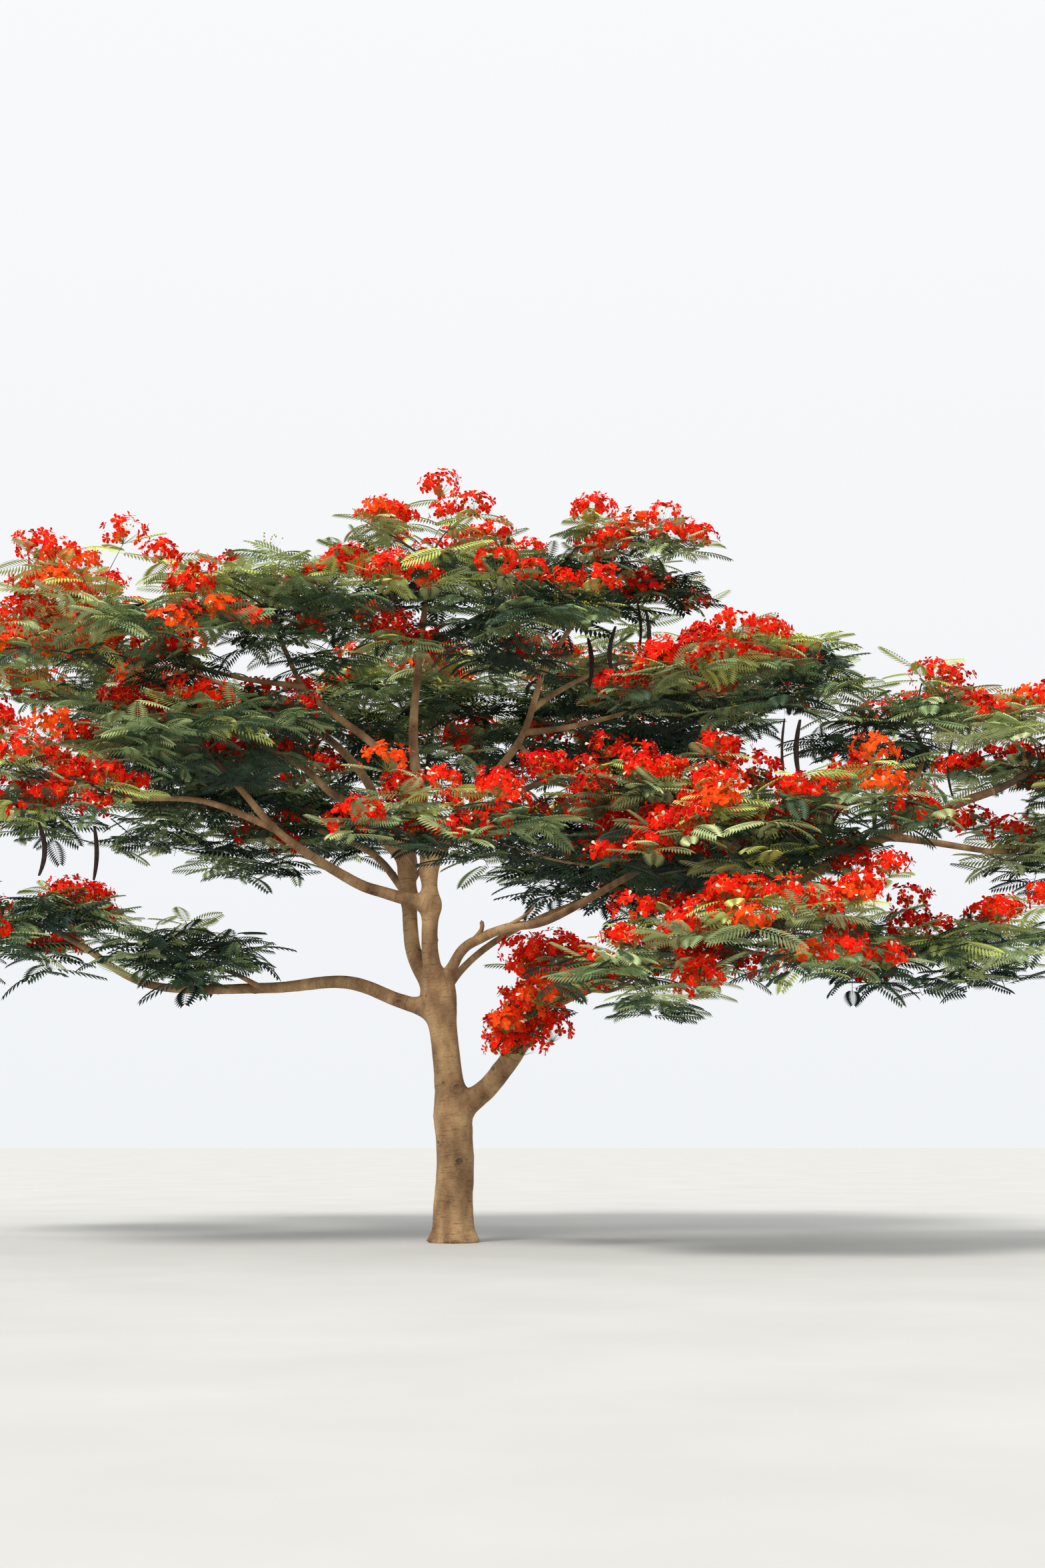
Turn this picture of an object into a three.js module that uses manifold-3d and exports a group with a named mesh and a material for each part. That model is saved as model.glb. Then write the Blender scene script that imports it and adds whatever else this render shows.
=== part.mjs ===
// Flame tree: a low, wide umbrella crown in bloom on a short trunk that forks at head height.
// Units are millimetres, +Z is up, and the origin is the middle of the trunk's flat foot.
// A trunk carries tapering boughs, and a mass of twigs, leaves and blossom grows on from each tip.

import * as THREE from 'three';
import { mergeVertices } from 'three/addons/utils/BufferGeometryUtils.js';
import Module from 'manifold-3d';

const wasm = await Module();
wasm.setup();

// Clearances
const GAP = 0.3;
const LIMB_CLEARANCE = 6;
const SPACE_MARGIN = 0.04;
const MERGE_DISTANCE = 1e-4;

// Trunk: its centreline, upright at the foot, then its radius at each height
const TRUNK_PATH = [
  [0, 0, 0], [0, 0, 200], [0, 0, 400], [20, 0, 780],
  [0, 0, 1220], [-50, 0, 1680], [-100, 0, 2100], [-170, 0, 2610],
];
const TRUNK_RADII = [
  [0, 265], [130, 222], [400, 205], [800, 198],
  [1220, 200], [1500, 172], [1750, 152], [2610, 142],
];
const TRUNK_SIDES = 12;
const TRUNK_STEPS = 10;
const ROOT_LOBES = 4;
const ROOT_LOBE_DEPTH = 0.12;
const ROOT_LOBE_HEIGHT = 240;

// Boughs: the limb that carries each, how far along it, the radii at root and tip, and the way it bends
const BOUGHS = {
  front_leader: {
    on: 'trunk', at: 1, radii: [100, 32],
    via: [[-260, -150, 3070], [-260, -240, 3700], [-320, -250, 4320], [-460, -120, 5400], [-410, 0, 6320],
      [-330, 0, 7150]],
  },
  back_stem: {
    on: 'trunk', at: 1, radii: [98, 34],
    via: [[-450, 200, 3100], [-520, 300, 3820], [-540, 300, 4220], [-440, 400, 4550], [-10, 700, 4660],
      [400, 1200, 4920], [1030, 2000, 5320]],
  },
  low_right: {
    on: 'trunk', at: 0.52, radii: [118, 42],
    via: [[330, -100, 1600], [600, -300, 1920], [980, -700, 2450], [1540, -1100, 2720], [2540, -1600, 3160],
      [3830, -2100, 3820], [5000, -2300, 4350], [5400, -2350, 4500]],
  },
  low_left: {
    on: 'trunk', at: 0.93, radii: [84, 38],
    via: [[-590, 50, 2570], [-1200, 150, 2780], [-2100, 500, 2740], [-3450, 900, 2800], [-4350, 1150, 3300]],
  },
  right_bough: {
    on: 'trunk', at: 0.97, radii: [64, 34],
    via: [[50, -100, 3060], [310, -200, 3240], [600, -300, 3340], [1040, -600, 3400], [1800, -1700, 3720]],
  },
  right_back: {
    on: 'trunk', at: 0.98, radii: [44, 28],
    via: [[80, 200, 2930], [450, 650, 3280], [1000, 1250, 3620], [1600, 1750, 3900]],
  },
  right_leader: {
    on: 'front_leader', at: 0.3, radii: [56, 26],
    via: [[120, -400, 4540], [420, -400, 4970], [750, -300, 5460], [980, -100, 6200], [1300, 100, 6770],
      [1500, 150, 7100]],
  },
  mid_left: {
    on: 'front_leader', at: 0.22, radii: [74, 34],
    via: [[-740, -300, 3710], [-1110, -450, 3840], [-1800, -900, 4260], [-2250, -1300, 4750]],
  },
  mid_left_fork: {
    on: 'mid_left', at: 0.75, radii: [42, 26],
    via: [[-2580, -1300, 4560], [-3300, -1500, 4560]],
  },
  upper_left: {
    on: 'front_leader', at: 0.49, radii: [54, 26],
    via: [[-850, -350, 5300], [-1310, -500, 5640], [-1620, -600, 5900], [-1850, -700, 6350]],
  },
  upper_left_fork: {
    on: 'upper_left', at: 0.78, radii: [36, 22],
    via: [[-2160, -900, 5930], [-2450, -1100, 5960]],
  },
  back_left_high: {
    on: 'back_stem', at: 0.37, radii: [60, 28],
    via: [[-890, 500, 4500], [-1000, 800, 5050], [-1620, 1300, 5760], [-2910, 2000, 6500],
      [-3850, 2250, 6780]],
  },
  stem_left: {
    on: 'back_stem', at: 0.42, radii: [62, 30],
    via: [[-910, 200, 4640], [-1350, 100, 4850], [-1650, 100, 5120], [-2000, 150, 5330]],
  },
  back_mid: {
    on: 'back_stem', at: 0.34, radii: [52, 30],
    via: [[-520, 1200, 4720], [-450, 2200, 5350]],
  },
  back_left_low: {
    on: 'back_stem', at: 0.28, radii: [52, 30],
    via: [[-1000, 1400, 4350], [-1700, 2300, 4750]],
  },
  crown_left: {
    on: 'front_leader', at: 0.87, radii: [28, 18],
    via: [[-700, -250, 6610], [-900, -450, 6650]],
  },
  crown_right: {
    on: 'front_leader', at: 0.84, radii: [28, 18],
    via: [[-170, -300, 6510], [100, -650, 6600]],
  },
  front_bough: {
    on: 'front_leader', at: 0.465, radii: [30, 20],
    via: [[-210, -900, 4400], [-20, -1400, 4180]],
  },
  right_b: {
    on: 'right_leader', at: 0.58, radii: [36, 22],
    via: [[1190, 300, 6080], [1740, 1000, 6490], [2100, 1300, 6620]],
  },
  right_c: {
    on: 'right_leader', at: 0.5, radii: [36, 20],
    via: [[1260, -600, 5480], [2050, -1150, 5580]],
  },
  right_d: {
    on: 'right_leader', at: 0.46, radii: [30, 18],
    via: [[900, -800, 5050], [1330, -1400, 4620]],
  },
  low_right_fork: {
    on: 'low_right', at: 0.835, radii: [44, 28],
    via: [[4820, -1900, 4060], [5490, -1600, 4000], [5700, -1500, 4010]],
  },
  riser: {
    on: 'low_right', at: 0.85, radii: [36, 24],
    via: [[4700, -1850, 4570], [4850, -1600, 4900]],
  },
  low_front: {
    on: 'low_right', at: 0.35, radii: [38, 24],
    via: [[1900, -2200, 2780], [2230, -2700, 2800]],
  },
  low_right_low: {
    on: 'low_right', at: 0.525, radii: [32, 20],
    via: [[3070, -1700, 2950], [3800, -1800, 2800]],
  },
  low_mid: {
    on: 'low_right', at: 0.27, radii: [30, 20],
    via: [[1380, -1800, 2560], [1550, -2330, 2520]],
  },
  front_bloom: {
    on: 'low_right', at: 0.154, radii: [26, 18],
    via: [[780, -800, 2120], [800, -1000, 2200]],
  },
  right_front: {
    on: 'low_right', at: 0.695, radii: [32, 20],
    via: [[3650, -2450, 3950], [3720, -2680, 4080]],
  },
  low_left_spur: {
    on: 'low_left', at: 0.47, radii: [34, 20],
    via: [[-2420, 300, 2880], [-2600, 180, 2930]],
  },
};
const COLLAR_SWELL = 0.3;
const COLLAR_REACH = 1.4;
const TAPER_POWER = 1.3;
const THICK_BOUGH = { radius: 50, sides: 7 };
const THIN_BOUGH = { sides: 5 };
const BOUGH_STEP = { length: 480, least: 3 };

// Foliage: the middle and reach of each mass's space, its twigs, how many of them bloom, and any pods
const MASSES = {
  low_left: { centre: [-5250, 1500, 3450], reach: [1500, 1450, 750], twigs: 5, bloom: 2 },
  low_left_spur: { centre: [-2950, -100, 3000], reach: [1050, 1000, 550], twigs: 4, bloom: 0 },
  mid_left: { centre: [-2700, -1650, 5050], reach: [1450, 1250, 800], twigs: 5, bloom: 2 },
  mid_left_fork: { centre: [-4300, -1750, 4560], reach: [1450, 1400, 950], twigs: 5, bloom: 4, pods: 1 },
  upper_left: { centre: [-1950, -800, 6780], reach: [1500, 1400, 850], twigs: 5, bloom: 1 },
  upper_left_fork: { centre: [-3300, -1600, 6280], reach: [1500, 1400, 850], twigs: 5, bloom: 4 },
  back_left_high: { centre: [-4850, 2300, 6660], reach: [1800, 1700, 950], twigs: 6, bloom: 4 },
  stem_left: { centre: [-2850, 450, 5600], reach: [1600, 1500, 900], twigs: 5, bloom: 1, pods: 1 },
  front_leader: { centre: [-280, 0, 7400], reach: [1300, 1250, 850], twigs: 5, bloom: 2 },
  crown_left: { centre: [-1150, -1050, 6500], reach: [1200, 1150, 950], twigs: 4, bloom: 2 },
  crown_right: { centre: [550, -1150, 6450], reach: [1250, 1150, 950], twigs: 4, bloom: 1 },
  right_leader: { centre: [1580, 300, 7280], reach: [1500, 1400, 850], twigs: 6, bloom: 4, pods: 2 },
  right_b: { centre: [2950, 1650, 6520], reach: [1650, 1550, 900], twigs: 5, bloom: 2 },
  right_c: { centre: [2950, -1600, 5650], reach: [1500, 1300, 850], twigs: 5, bloom: 3, pods: 1 },
  right_d: { centre: [2000, -2250, 4360], reach: [1300, 1150, 700], twigs: 4, bloom: 4 },
  back_stem: { centre: [1850, 3000, 6150], reach: [2100, 1900, 1500], twigs: 6, bloom: 2, pods: 1 },
  back_mid: { centre: [-350, 3250, 6100], reach: [2050, 1800, 1700], twigs: 6, bloom: 1 },
  back_left_low: { centre: [-2600, 3200, 5000], reach: [1950, 1750, 1600], twigs: 6, bloom: 1 },
  right_bough: { centre: [2750, -2850, 3850], reach: [1450, 1250, 750], twigs: 5, bloom: 4 },
  right_back: { centre: [2500, 2650, 4350], reach: [2200, 1900, 1300], twigs: 6, bloom: 1 },
  low_right: { centre: [6150, -2450, 4750], reach: [1300, 1300, 900], twigs: 5, bloom: 4 },
  low_right_fork: { centre: [6500, -1050, 4050], reach: [1200, 1150, 750], twigs: 4, bloom: 2 },
  riser: { centre: [4700, -1200, 5300], reach: [1420, 1250, 900], twigs: 5, bloom: 2, pods: 1 },
  low_front: { centre: [3000, -3500, 2900], reach: [1450, 1200, 750], twigs: 4, bloom: 4 },
  front_bloom: { centre: [900, -1500, 2420], reach: [560, 580, 860], twigs: 4, bloom: 4 },
  low_mid: { centre: [2000, -3150, 2600], reach: [1120, 1100, 700], twigs: 4, bloom: 2 },
  low_right_low: { centre: [4800, -1950, 2850], reach: [1450, 1300, 700], twigs: 5, bloom: 2 },
  front_bough: { centre: [250, -2300, 4100], reach: [1500, 1100, 600], twigs: 4, bloom: 3 },
  right_front: { centre: [3850, -3250, 4150], reach: [1200, 1050, 600], twigs: 4, bloom: 3 },
};
const FIRST_SEED = 103;
const GOLDEN_SHARE = (Math.sqrt(5) - 1) / 2;
const GOLDEN_ANGLE = 2 * Math.PI * (1 - GOLDEN_SHARE);
const STEM = { top: 0.25, tipRadius: 24, sides: 4, steps: 3 };
const TWIG = { radii: [16, 14], sides: 3, steps: 2, arch: 0.14, roots: [0.9, 0.45] };
const TWIG_FAN = { spread: 0.62, first: 0.9, height: 0.4, fall: 0.6, stagger: 0.6 };
const TRY_SCALES = [1, 0.85, 0.7];
const TRY_TURNS = [0, 0.3, -0.3];

// Sprays: each leaf here stands for a handful of feathery leaves
const LEAF = { length: [820, 1150], aspect: 0.48, thickness: 110, droop: [-0.1, 0.6], roll: [-0.5, 0.5] };
const SIDE_LEAF = { places: [0.94, 0.72, 0.46], turn: [0.8, 1.15], sink: 5 };
const END_LEAF = { sink: 14 };
const HEAD = { radius: [240, 360], flatness: 0.75, ahead: 0.4, up: 0.22, sides: 6, rings: 2 };
const POD = { length: 560, width: 56, thickness: 22, place: 0.8, bow: 0.1, neck: 0.35, sides: 4, steps: 3 };

const UP = new THREE.Vector3(0, 0, 1);
const vector = ([x, y, z]) => new THREE.Vector3(x, y, z);

// The same seed always grows the same tree: a Lehmer generator
const SEED_FACTOR = 48271;
const SEED_MODULUS = 2147483647;
function seeded(seed) {
  let state = (seed * SEED_FACTOR) % SEED_MODULUS;
  return () => {
    state = (state * SEED_FACTOR) % SEED_MODULUS;
    return state / SEED_MODULUS;
  };
}

const between = (random, [low, high]) => low + (high - low) * random();

// Closed geometry to solid, and back
function toSolid(geometry) {
  const bare = geometry.clone();
  bare.deleteAttribute('normal');
  bare.deleteAttribute('uv');
  const merged = mergeVertices(bare, MERGE_DISTANCE);
  return new wasm.Manifold(new wasm.Mesh({
    numProp: 3,
    vertProperties: new Float32Array(merged.attributes.position.array),
    triVerts: new Uint32Array(merged.index.array),
  }));
}

function toGeometry(solid) {
  const mesh = solid.getMesh();
  const geometry = new THREE.BufferGeometry();
  geometry.setAttribute('position', new THREE.BufferAttribute(mesh.vertProperties, 3));
  geometry.setIndex(new THREE.BufferAttribute(mesh.triVerts, 1));
  geometry.computeVertexNormals();
  return geometry;
}

// The main outer shell: loose scraps go, and a sealed hollow is filled
function mainBody(solid) {
  return solid.decompose().reduce((best, body) => (body.numTri() > best.numTri() ? body : best));
}

// A closed tube: a cylinder bent along a curve, with a radius for each share and turn of its length
function bentTube(curve, radiusAt, sides, steps, grow = 0, level = false) {
  const geometry = new THREE.CylinderGeometry(1, 1, 1, sides, steps);
  const frames = level ? levelFrames(curve, steps) : curve.computeFrenetFrames(steps, false);
  const position = geometry.attributes.position;
  const point = new THREE.Vector3();
  for (let i = 0; i < position.count; i += 1) {
    const share = position.getY(i) + 0.5;
    const step = Math.round(share * steps);
    const across = new THREE.Vector2(position.getX(i), position.getZ(i));
    const radius = radiusAt(share, across.angle()) + grow;
    const overrun = grow * (step === 0 ? -1 : step === steps ? 1 : 0);
    curve.getPointAt(share, point);
    point.addScaledVector(frames.tangents[step], overrun);
    point.addScaledVector(frames.normals[step], across.x * radius);
    point.addScaledVector(frames.binormals[step], -across.y * radius);
    position.setXYZ(i, point.x, point.y, point.z);
  }
  return geometry;
}

// Frames for a twig: one corner of its section stays on top
function levelFrames(curve, steps) {
  const tangents = Array.from({ length: steps + 1 }, (_, i) => curve.getTangentAt(i / steps));
  const normals = tangents.map((tangent) => tangent.clone().cross(UP).normalize());
  const binormals = tangents.map((tangent, i) => tangent.clone().cross(normals[i]));
  return { tangents, normals, binormals };
}

// A point on a bent tube's axis, which runs straight from ring to ring
function onAxis(curve, steps, share) {
  const step = Math.min(steps - 1, Math.floor(share * steps));
  const ring = curve.getPointAt(step / steps);
  return ring.lerp(curve.getPointAt((step + 1) / steps), share * steps - step);
}

const curveThrough = (points) => new THREE.CatmullRomCurve3(points, false, 'catmullrom', 0.5);

// Radius between the heights that a profile names
function profileRadius(profile, height) {
  const above = profile.findIndex(([level]) => level >= height);
  if (above <= 0) {
    return profile[above === 0 ? 0 : profile.length - 1][1];
  }
  const [lowLevel, lowRadius] = profile[above - 1];
  const [highLevel, highRadius] = profile[above];
  return THREE.MathUtils.mapLinear(height, lowLevel, highLevel, lowRadius, highRadius);
}

// Trunk: flared and lobed at the foot, cut flat at the ground
function trunkLimb() {
  const curve = curveThrough(TRUNK_PATH.map(vector));
  const heightAt = (share) => curve.getPointAt(share).z;
  const radiusAt = (share, angle) => {
    const height = heightAt(share);
    const lobe = ROOT_LOBE_DEPTH * Math.exp(-height / ROOT_LOBE_HEIGHT) * Math.cos(ROOT_LOBES * angle);
    return profileRadius(TRUNK_RADII, height) * (1 + lobe);
  };
  return { curve, radiusAt, sides: TRUNK_SIDES, steps: TRUNK_STEPS };
}

// Bough: swollen at its collar, then tapering to its tip
function boughLimb({ on, at, radii, via }, limbs) {
  const root = limbs[on].curve.getPointAt(at);
  const curve = curveThrough([root, ...via.map(vector)]);
  const length = curve.getLength();
  const [base, tip] = radii;
  const radiusAt = (share) => {
    const collar = COLLAR_SWELL * base * Math.exp(-(share * length) / (COLLAR_REACH * base));
    return tip + (base - tip) * (1 - share) ** TAPER_POWER + collar;
  };
  const { sides } = base > THICK_BOUGH.radius ? THICK_BOUGH : THIN_BOUGH;
  const steps = Math.max(BOUGH_STEP.least, Math.round(length / BOUGH_STEP.length));
  return { curve, radiusAt, sides, steps };
}

function limbSolid({ curve, radiusAt, sides, steps }, grow = 0) {
  return toSolid(bentTube(curve, radiusAt, sides, steps, grow));
}

// Each limb is trimmed to the limbs before it, so that it seats on the one that carries it
function growLimbs() {
  const limbs = { trunk: trunkLimb() };
  for (const [name, bough] of Object.entries(BOUGHS)) {
    limbs[name] = boughLimb(bough, limbs);
  }
  const placed = [];
  for (const limb of Object.values(limbs)) {
    const whole = limbSolid(limb);
    const trimmed = placed.reduce((rest, earlier) => rest.subtract(earlier.grown), whole);
    limb.solid = mainBody(trimmed);
    limb.grown = limbSolid(limb, GAP);
    limb.obstacle = limbSolid(limb, LIMB_CLEARANCE);
    placed.push(limb);
  }
  return limbs;
}

// Distance from a mass's middle, as a share of its reach
function shareOfReach(mass, point) {
  const [x, y, z] = mass.centre;
  const [a, b, c] = mass.reach;
  return Math.hypot((point.x - x) / a, (point.y - y) / b, (point.z - z) / c);
}

// A mass keeps to its own space: inside its reach, and nearer to its own middle than to any other
function inOwnSpace(mass, point) {
  const own = shareOfReach(mass, point);
  if (own > 1) {
    return false;
  }
  return Object.values(MASSES).every(
    (other) => other === mass || shareOfReach(other, point) > own + SPACE_MARGIN,
  );
}

const touchesAny = (solid, others) => others.some((other) => !solid.intersect(other).isEmpty());

// Leaf: a long flat kite of eight faces that starts a little behind its root
function leafSolid(length, sink, root, heading, droop, roll) {
  const kite = new THREE.OctahedronGeometry(1, 0);
  kite.scale(length / 2, (length * LEAF.aspect) / 2, LEAF.thickness / 2);
  kite.translate(length / 2 - sink, 0, 0);
  kite.rotateX(roll);
  kite.rotateY(droop);
  kite.rotateZ(heading);
  kite.translate(root.x, root.y, root.z);
  return toSolid(kite);
}

// Blossom head: a flattened cluster just above and beyond the end of a twig
function headSolid(radius, end, heading) {
  const head = new THREE.SphereGeometry(radius, HEAD.sides, HEAD.rings);
  head.rotateX(Math.PI / 2);
  head.scale(1, 1, HEAD.flatness);
  head.translate(radius * HEAD.ahead, 0, radius * HEAD.up);
  head.rotateZ(heading);
  head.translate(end.x, end.y, end.z);
  return toSolid(head);
}

// Pod: a long flat blade that hangs from a twig and bows a little
function podSolid(root, heading) {
  const outward = new THREE.Vector3(Math.cos(heading), Math.sin(heading), 0);
  const bow = outward.multiplyScalar(POD.length * POD.bow);
  const top = root.clone().addScaledVector(UP, TWIG.radii[1]);
  const foot = root.clone().addScaledVector(UP, -POD.length).add(bow);
  const middle = top.clone().lerp(foot, 0.5).sub(bow);
  const curve = new THREE.QuadraticBezierCurve3(top, middle, foot);
  const flatness = POD.thickness / POD.width;
  const radiusAt = (share, angle) => {
    const swell = POD.neck + (1 - POD.neck) * Math.sin(Math.PI * share);
    const side = Math.hypot(Math.cos(angle), Math.sin(angle) / flatness);
    return (POD.width / 2) * swell / side;
  };
  return toSolid(bentTube(curve, radiusAt, POD.sides, POD.steps));
}

function cornersOf(solid) {
  const { vertProperties } = solid.getMesh();
  const corners = [];
  for (let i = 0; i < vertProperties.length; i += 3) {
    corners.push(new THREE.Vector3(vertProperties[i], vertProperties[i + 1], vertProperties[i + 2]));
  }
  return corners;
}

// Stem and twigs of a mass, with the compass heading of each
function growTwigs(limb, mass, obstacles, random) {
  const middle = vector(mass.centre);
  const reach = vector(mass.reach);
  const headingOf = (curve) => {
    const ahead = curve.getTangentAt(1);
    return Math.atan2(ahead.y, ahead.x);
  };
  const ahead = limb.curve.getTangentAt(1);
  const foot = limb.curve.getPointAt(1).addScaledVector(ahead, GAP);
  const top = middle.clone().addScaledVector(UP, STEM.top * reach.z);
  const bend = foot.clone().addScaledVector(ahead, foot.distanceTo(top) / 2);
  const stem = new THREE.QuadraticBezierCurve3(foot, bend, top);
  const stemTaper = (share) => THREE.MathUtils.lerp(limb.radiusAt(1, 0), STEM.tipRadius, share);
  const stemSolid = toSolid(bentTube(stem, stemTaper, STEM.sides, STEM.steps));
  const wood = [{ curve: stem, steps: STEM.steps, solid: stemSolid, heading: headingOf(stem) }];

  const start = 2 * Math.PI * random();
  const twigTaper = (share) => THREE.MathUtils.lerp(...TWIG.radii, share);
  for (let i = 1; i < mass.twigs; i += 1) {
    const turn = start + i * GOLDEN_ANGLE;
    const spread = TWIG_FAN.spread * Math.sqrt((i + TWIG_FAN.first) / mass.twigs);
    const stagger = TWIG_FAN.stagger * (((i * GOLDEN_SHARE) % 1) - 0.5);
    const rise = TWIG_FAN.height - TWIG_FAN.fall * spread ** 2 + stagger;
    const offset = new THREE.Vector3(Math.cos(turn) * spread, Math.sin(turn) * spread, rise).multiply(reach);
    const root = onAxis(stem, STEM.steps, THREE.MathUtils.lerp(...TWIG.roots, i / mass.twigs));
    for (const scale of TRY_SCALES) {
      const end = middle.clone().addScaledVector(offset, scale);
      const arch = root.clone().lerp(end, 0.5).addScaledVector(UP, TWIG.arch * root.distanceTo(end));
      const curve = new THREE.QuadraticBezierCurve3(root, arch, end);
      const solid = toSolid(bentTube(curve, twigTaper, TWIG.sides, TWIG.steps, 0, true));
      if (inOwnSpace(mass, end) && !touchesAny(solid, obstacles)) {
        wood.push({ curve, steps: TWIG.steps, solid, heading: headingOf(curve) });
        break;
      }
    }
  }
  return wood;
}

// Mass: one stem runs on from the bough's tip to the top of the dome, and twigs fan out from it
// by the golden angle. Each ends in a blossom head or a leaf, with more leaves along its sides.
function growMass(name, mass, seed, limbs) {
  const random = seeded(seed);
  const obstacles = Object.values(limbs).map((limb) => limb.obstacle);
  const wood = growTwigs(limbs[name], mass, obstacles, random);
  const grown = [];
  const place = (twig, make) => {
    const others = [...obstacles, ...grown];
    others.push(...wood.filter((other) => other !== twig).map((other) => other.solid));
    for (const scale of TRY_SCALES) {
      for (const turn of TRY_TURNS) {
        const solid = make(scale, turn);
        if (cornersOf(solid).every((corner) => inOwnSpace(mass, corner)) && !touchesAny(solid, others)) {
          grown.push(solid);
          return;
        }
      }
    }
  };
  const placeLeaf = (twig, root, side, sink) => {
    const length = between(random, LEAF.length);
    const droop = between(random, LEAF.droop);
    const roll = between(random, LEAF.roll);
    place(twig, (scale, turn) => (
      leafSolid(length * scale, sink, root, twig.heading + side + turn, droop, roll)
    ));
  };

  const firstWithPod = wood.length - (mass.pods ?? 0);
  wood.forEach((twig, i) => {
    const end = twig.curve.getPointAt(1);
    if (i < mass.bloom) {
      const radius = between(random, HEAD.radius);
      place(twig, (scale) => headSolid(radius * scale, end, twig.heading));
    } else {
      placeLeaf(twig, end, 0, END_LEAF.sink);
    }
    if (i >= firstWithPod) {
      grown.push(podSolid(onAxis(twig.curve, twig.steps, POD.place), twig.heading));
    }
  });
  SIDE_LEAF.places.forEach((share, k) => {
    const hand = k % 2 === 0 ? 1 : -1;
    for (const twig of wood) {
      const side = hand * between(random, SIDE_LEAF.turn);
      placeLeaf(twig, onAxis(twig.curve, twig.steps, share), side, SIDE_LEAF.sink);
    }
  });
  return mainBody(wasm.Manifold.union([...wood.map((twig) => twig.solid), ...grown]));
}

// Finishes
const bark = new THREE.MeshStandardMaterial({ color: 0x8c6c52, roughness: 0.9, metalness: 0 });
const foliage = new THREE.MeshStandardMaterial({ color: 0x5f7d55, roughness: 0.7, metalness: 0 });
const blossom = new THREE.MeshStandardMaterial({ color: 0xd8321c, roughness: 0.6, metalness: 0 });
const BLOSSOM_SHARE = 0.6;

function named(name, solid, material) {
  const mesh = new THREE.Mesh(toGeometry(solid), material);
  mesh.name = name;
  return mesh;
}

const tree = new THREE.Group();
tree.name = 'flame_tree';
const limbs = growLimbs();
for (const [name, limb] of Object.entries(limbs)) {
  tree.add(named(name === 'trunk' ? name : `bough_${name}`, limb.solid, bark));
}
Object.entries(MASSES).forEach(([name, mass], i) => {
  const finish = mass.bloom / mass.twigs >= BLOSSOM_SHARE ? blossom : foliage;
  tree.add(named(`foliage_${name}`, growMass(name, mass, FIRST_SEED + i, limbs), finish));
});

export default tree;
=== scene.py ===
# Flame tree in bloom: the looks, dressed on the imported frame.
# Units are metres, +Z is up, and the middle of the trunk's foot is the origin.

import math
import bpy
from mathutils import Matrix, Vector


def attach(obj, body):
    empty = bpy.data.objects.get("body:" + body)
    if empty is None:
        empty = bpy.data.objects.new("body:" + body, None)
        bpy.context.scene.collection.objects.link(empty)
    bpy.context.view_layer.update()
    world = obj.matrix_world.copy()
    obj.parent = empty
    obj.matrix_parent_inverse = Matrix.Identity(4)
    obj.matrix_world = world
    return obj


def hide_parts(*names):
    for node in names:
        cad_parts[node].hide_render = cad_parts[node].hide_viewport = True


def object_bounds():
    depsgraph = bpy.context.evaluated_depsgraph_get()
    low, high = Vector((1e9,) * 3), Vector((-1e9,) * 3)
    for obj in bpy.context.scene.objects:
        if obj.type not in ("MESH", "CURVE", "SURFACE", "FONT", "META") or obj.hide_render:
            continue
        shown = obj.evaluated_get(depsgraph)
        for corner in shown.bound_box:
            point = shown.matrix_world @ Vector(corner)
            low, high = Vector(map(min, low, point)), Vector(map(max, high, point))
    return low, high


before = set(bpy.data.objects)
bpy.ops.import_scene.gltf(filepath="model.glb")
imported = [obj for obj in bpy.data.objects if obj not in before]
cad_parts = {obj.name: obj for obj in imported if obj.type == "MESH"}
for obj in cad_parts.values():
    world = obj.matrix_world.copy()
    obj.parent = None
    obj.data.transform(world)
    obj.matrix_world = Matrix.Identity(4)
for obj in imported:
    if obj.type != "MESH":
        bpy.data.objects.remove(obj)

from types import SimpleNamespace as Values

import bpy
import numpy as np

CAD_BOX = [list(corner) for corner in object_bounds()]
UP = np.array([0.0, 0.0, 1.0])

# Trunk: its centreline, upright at the foot, then its radius at each height
TRUNK_PATH = [
    (0, 0, 0), (0, 0, 0.2), (0, 0, 0.4), (0.02, 0, 0.78),
    (0, 0, 1.22), (-0.05, 0, 1.68), (-0.1, 0, 2.1), (-0.17, 0, 2.61),
]
TRUNK_RADII = [
    (0, 0.265), (0.13, 0.222), (0.4, 0.205), (0.8, 0.198),
    (1.22, 0.2), (1.5, 0.172), (1.75, 0.152), (2.61, 0.142),
]
ROOT_LOBES = Values(count=4, depth=0.12, height=0.24)

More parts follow.
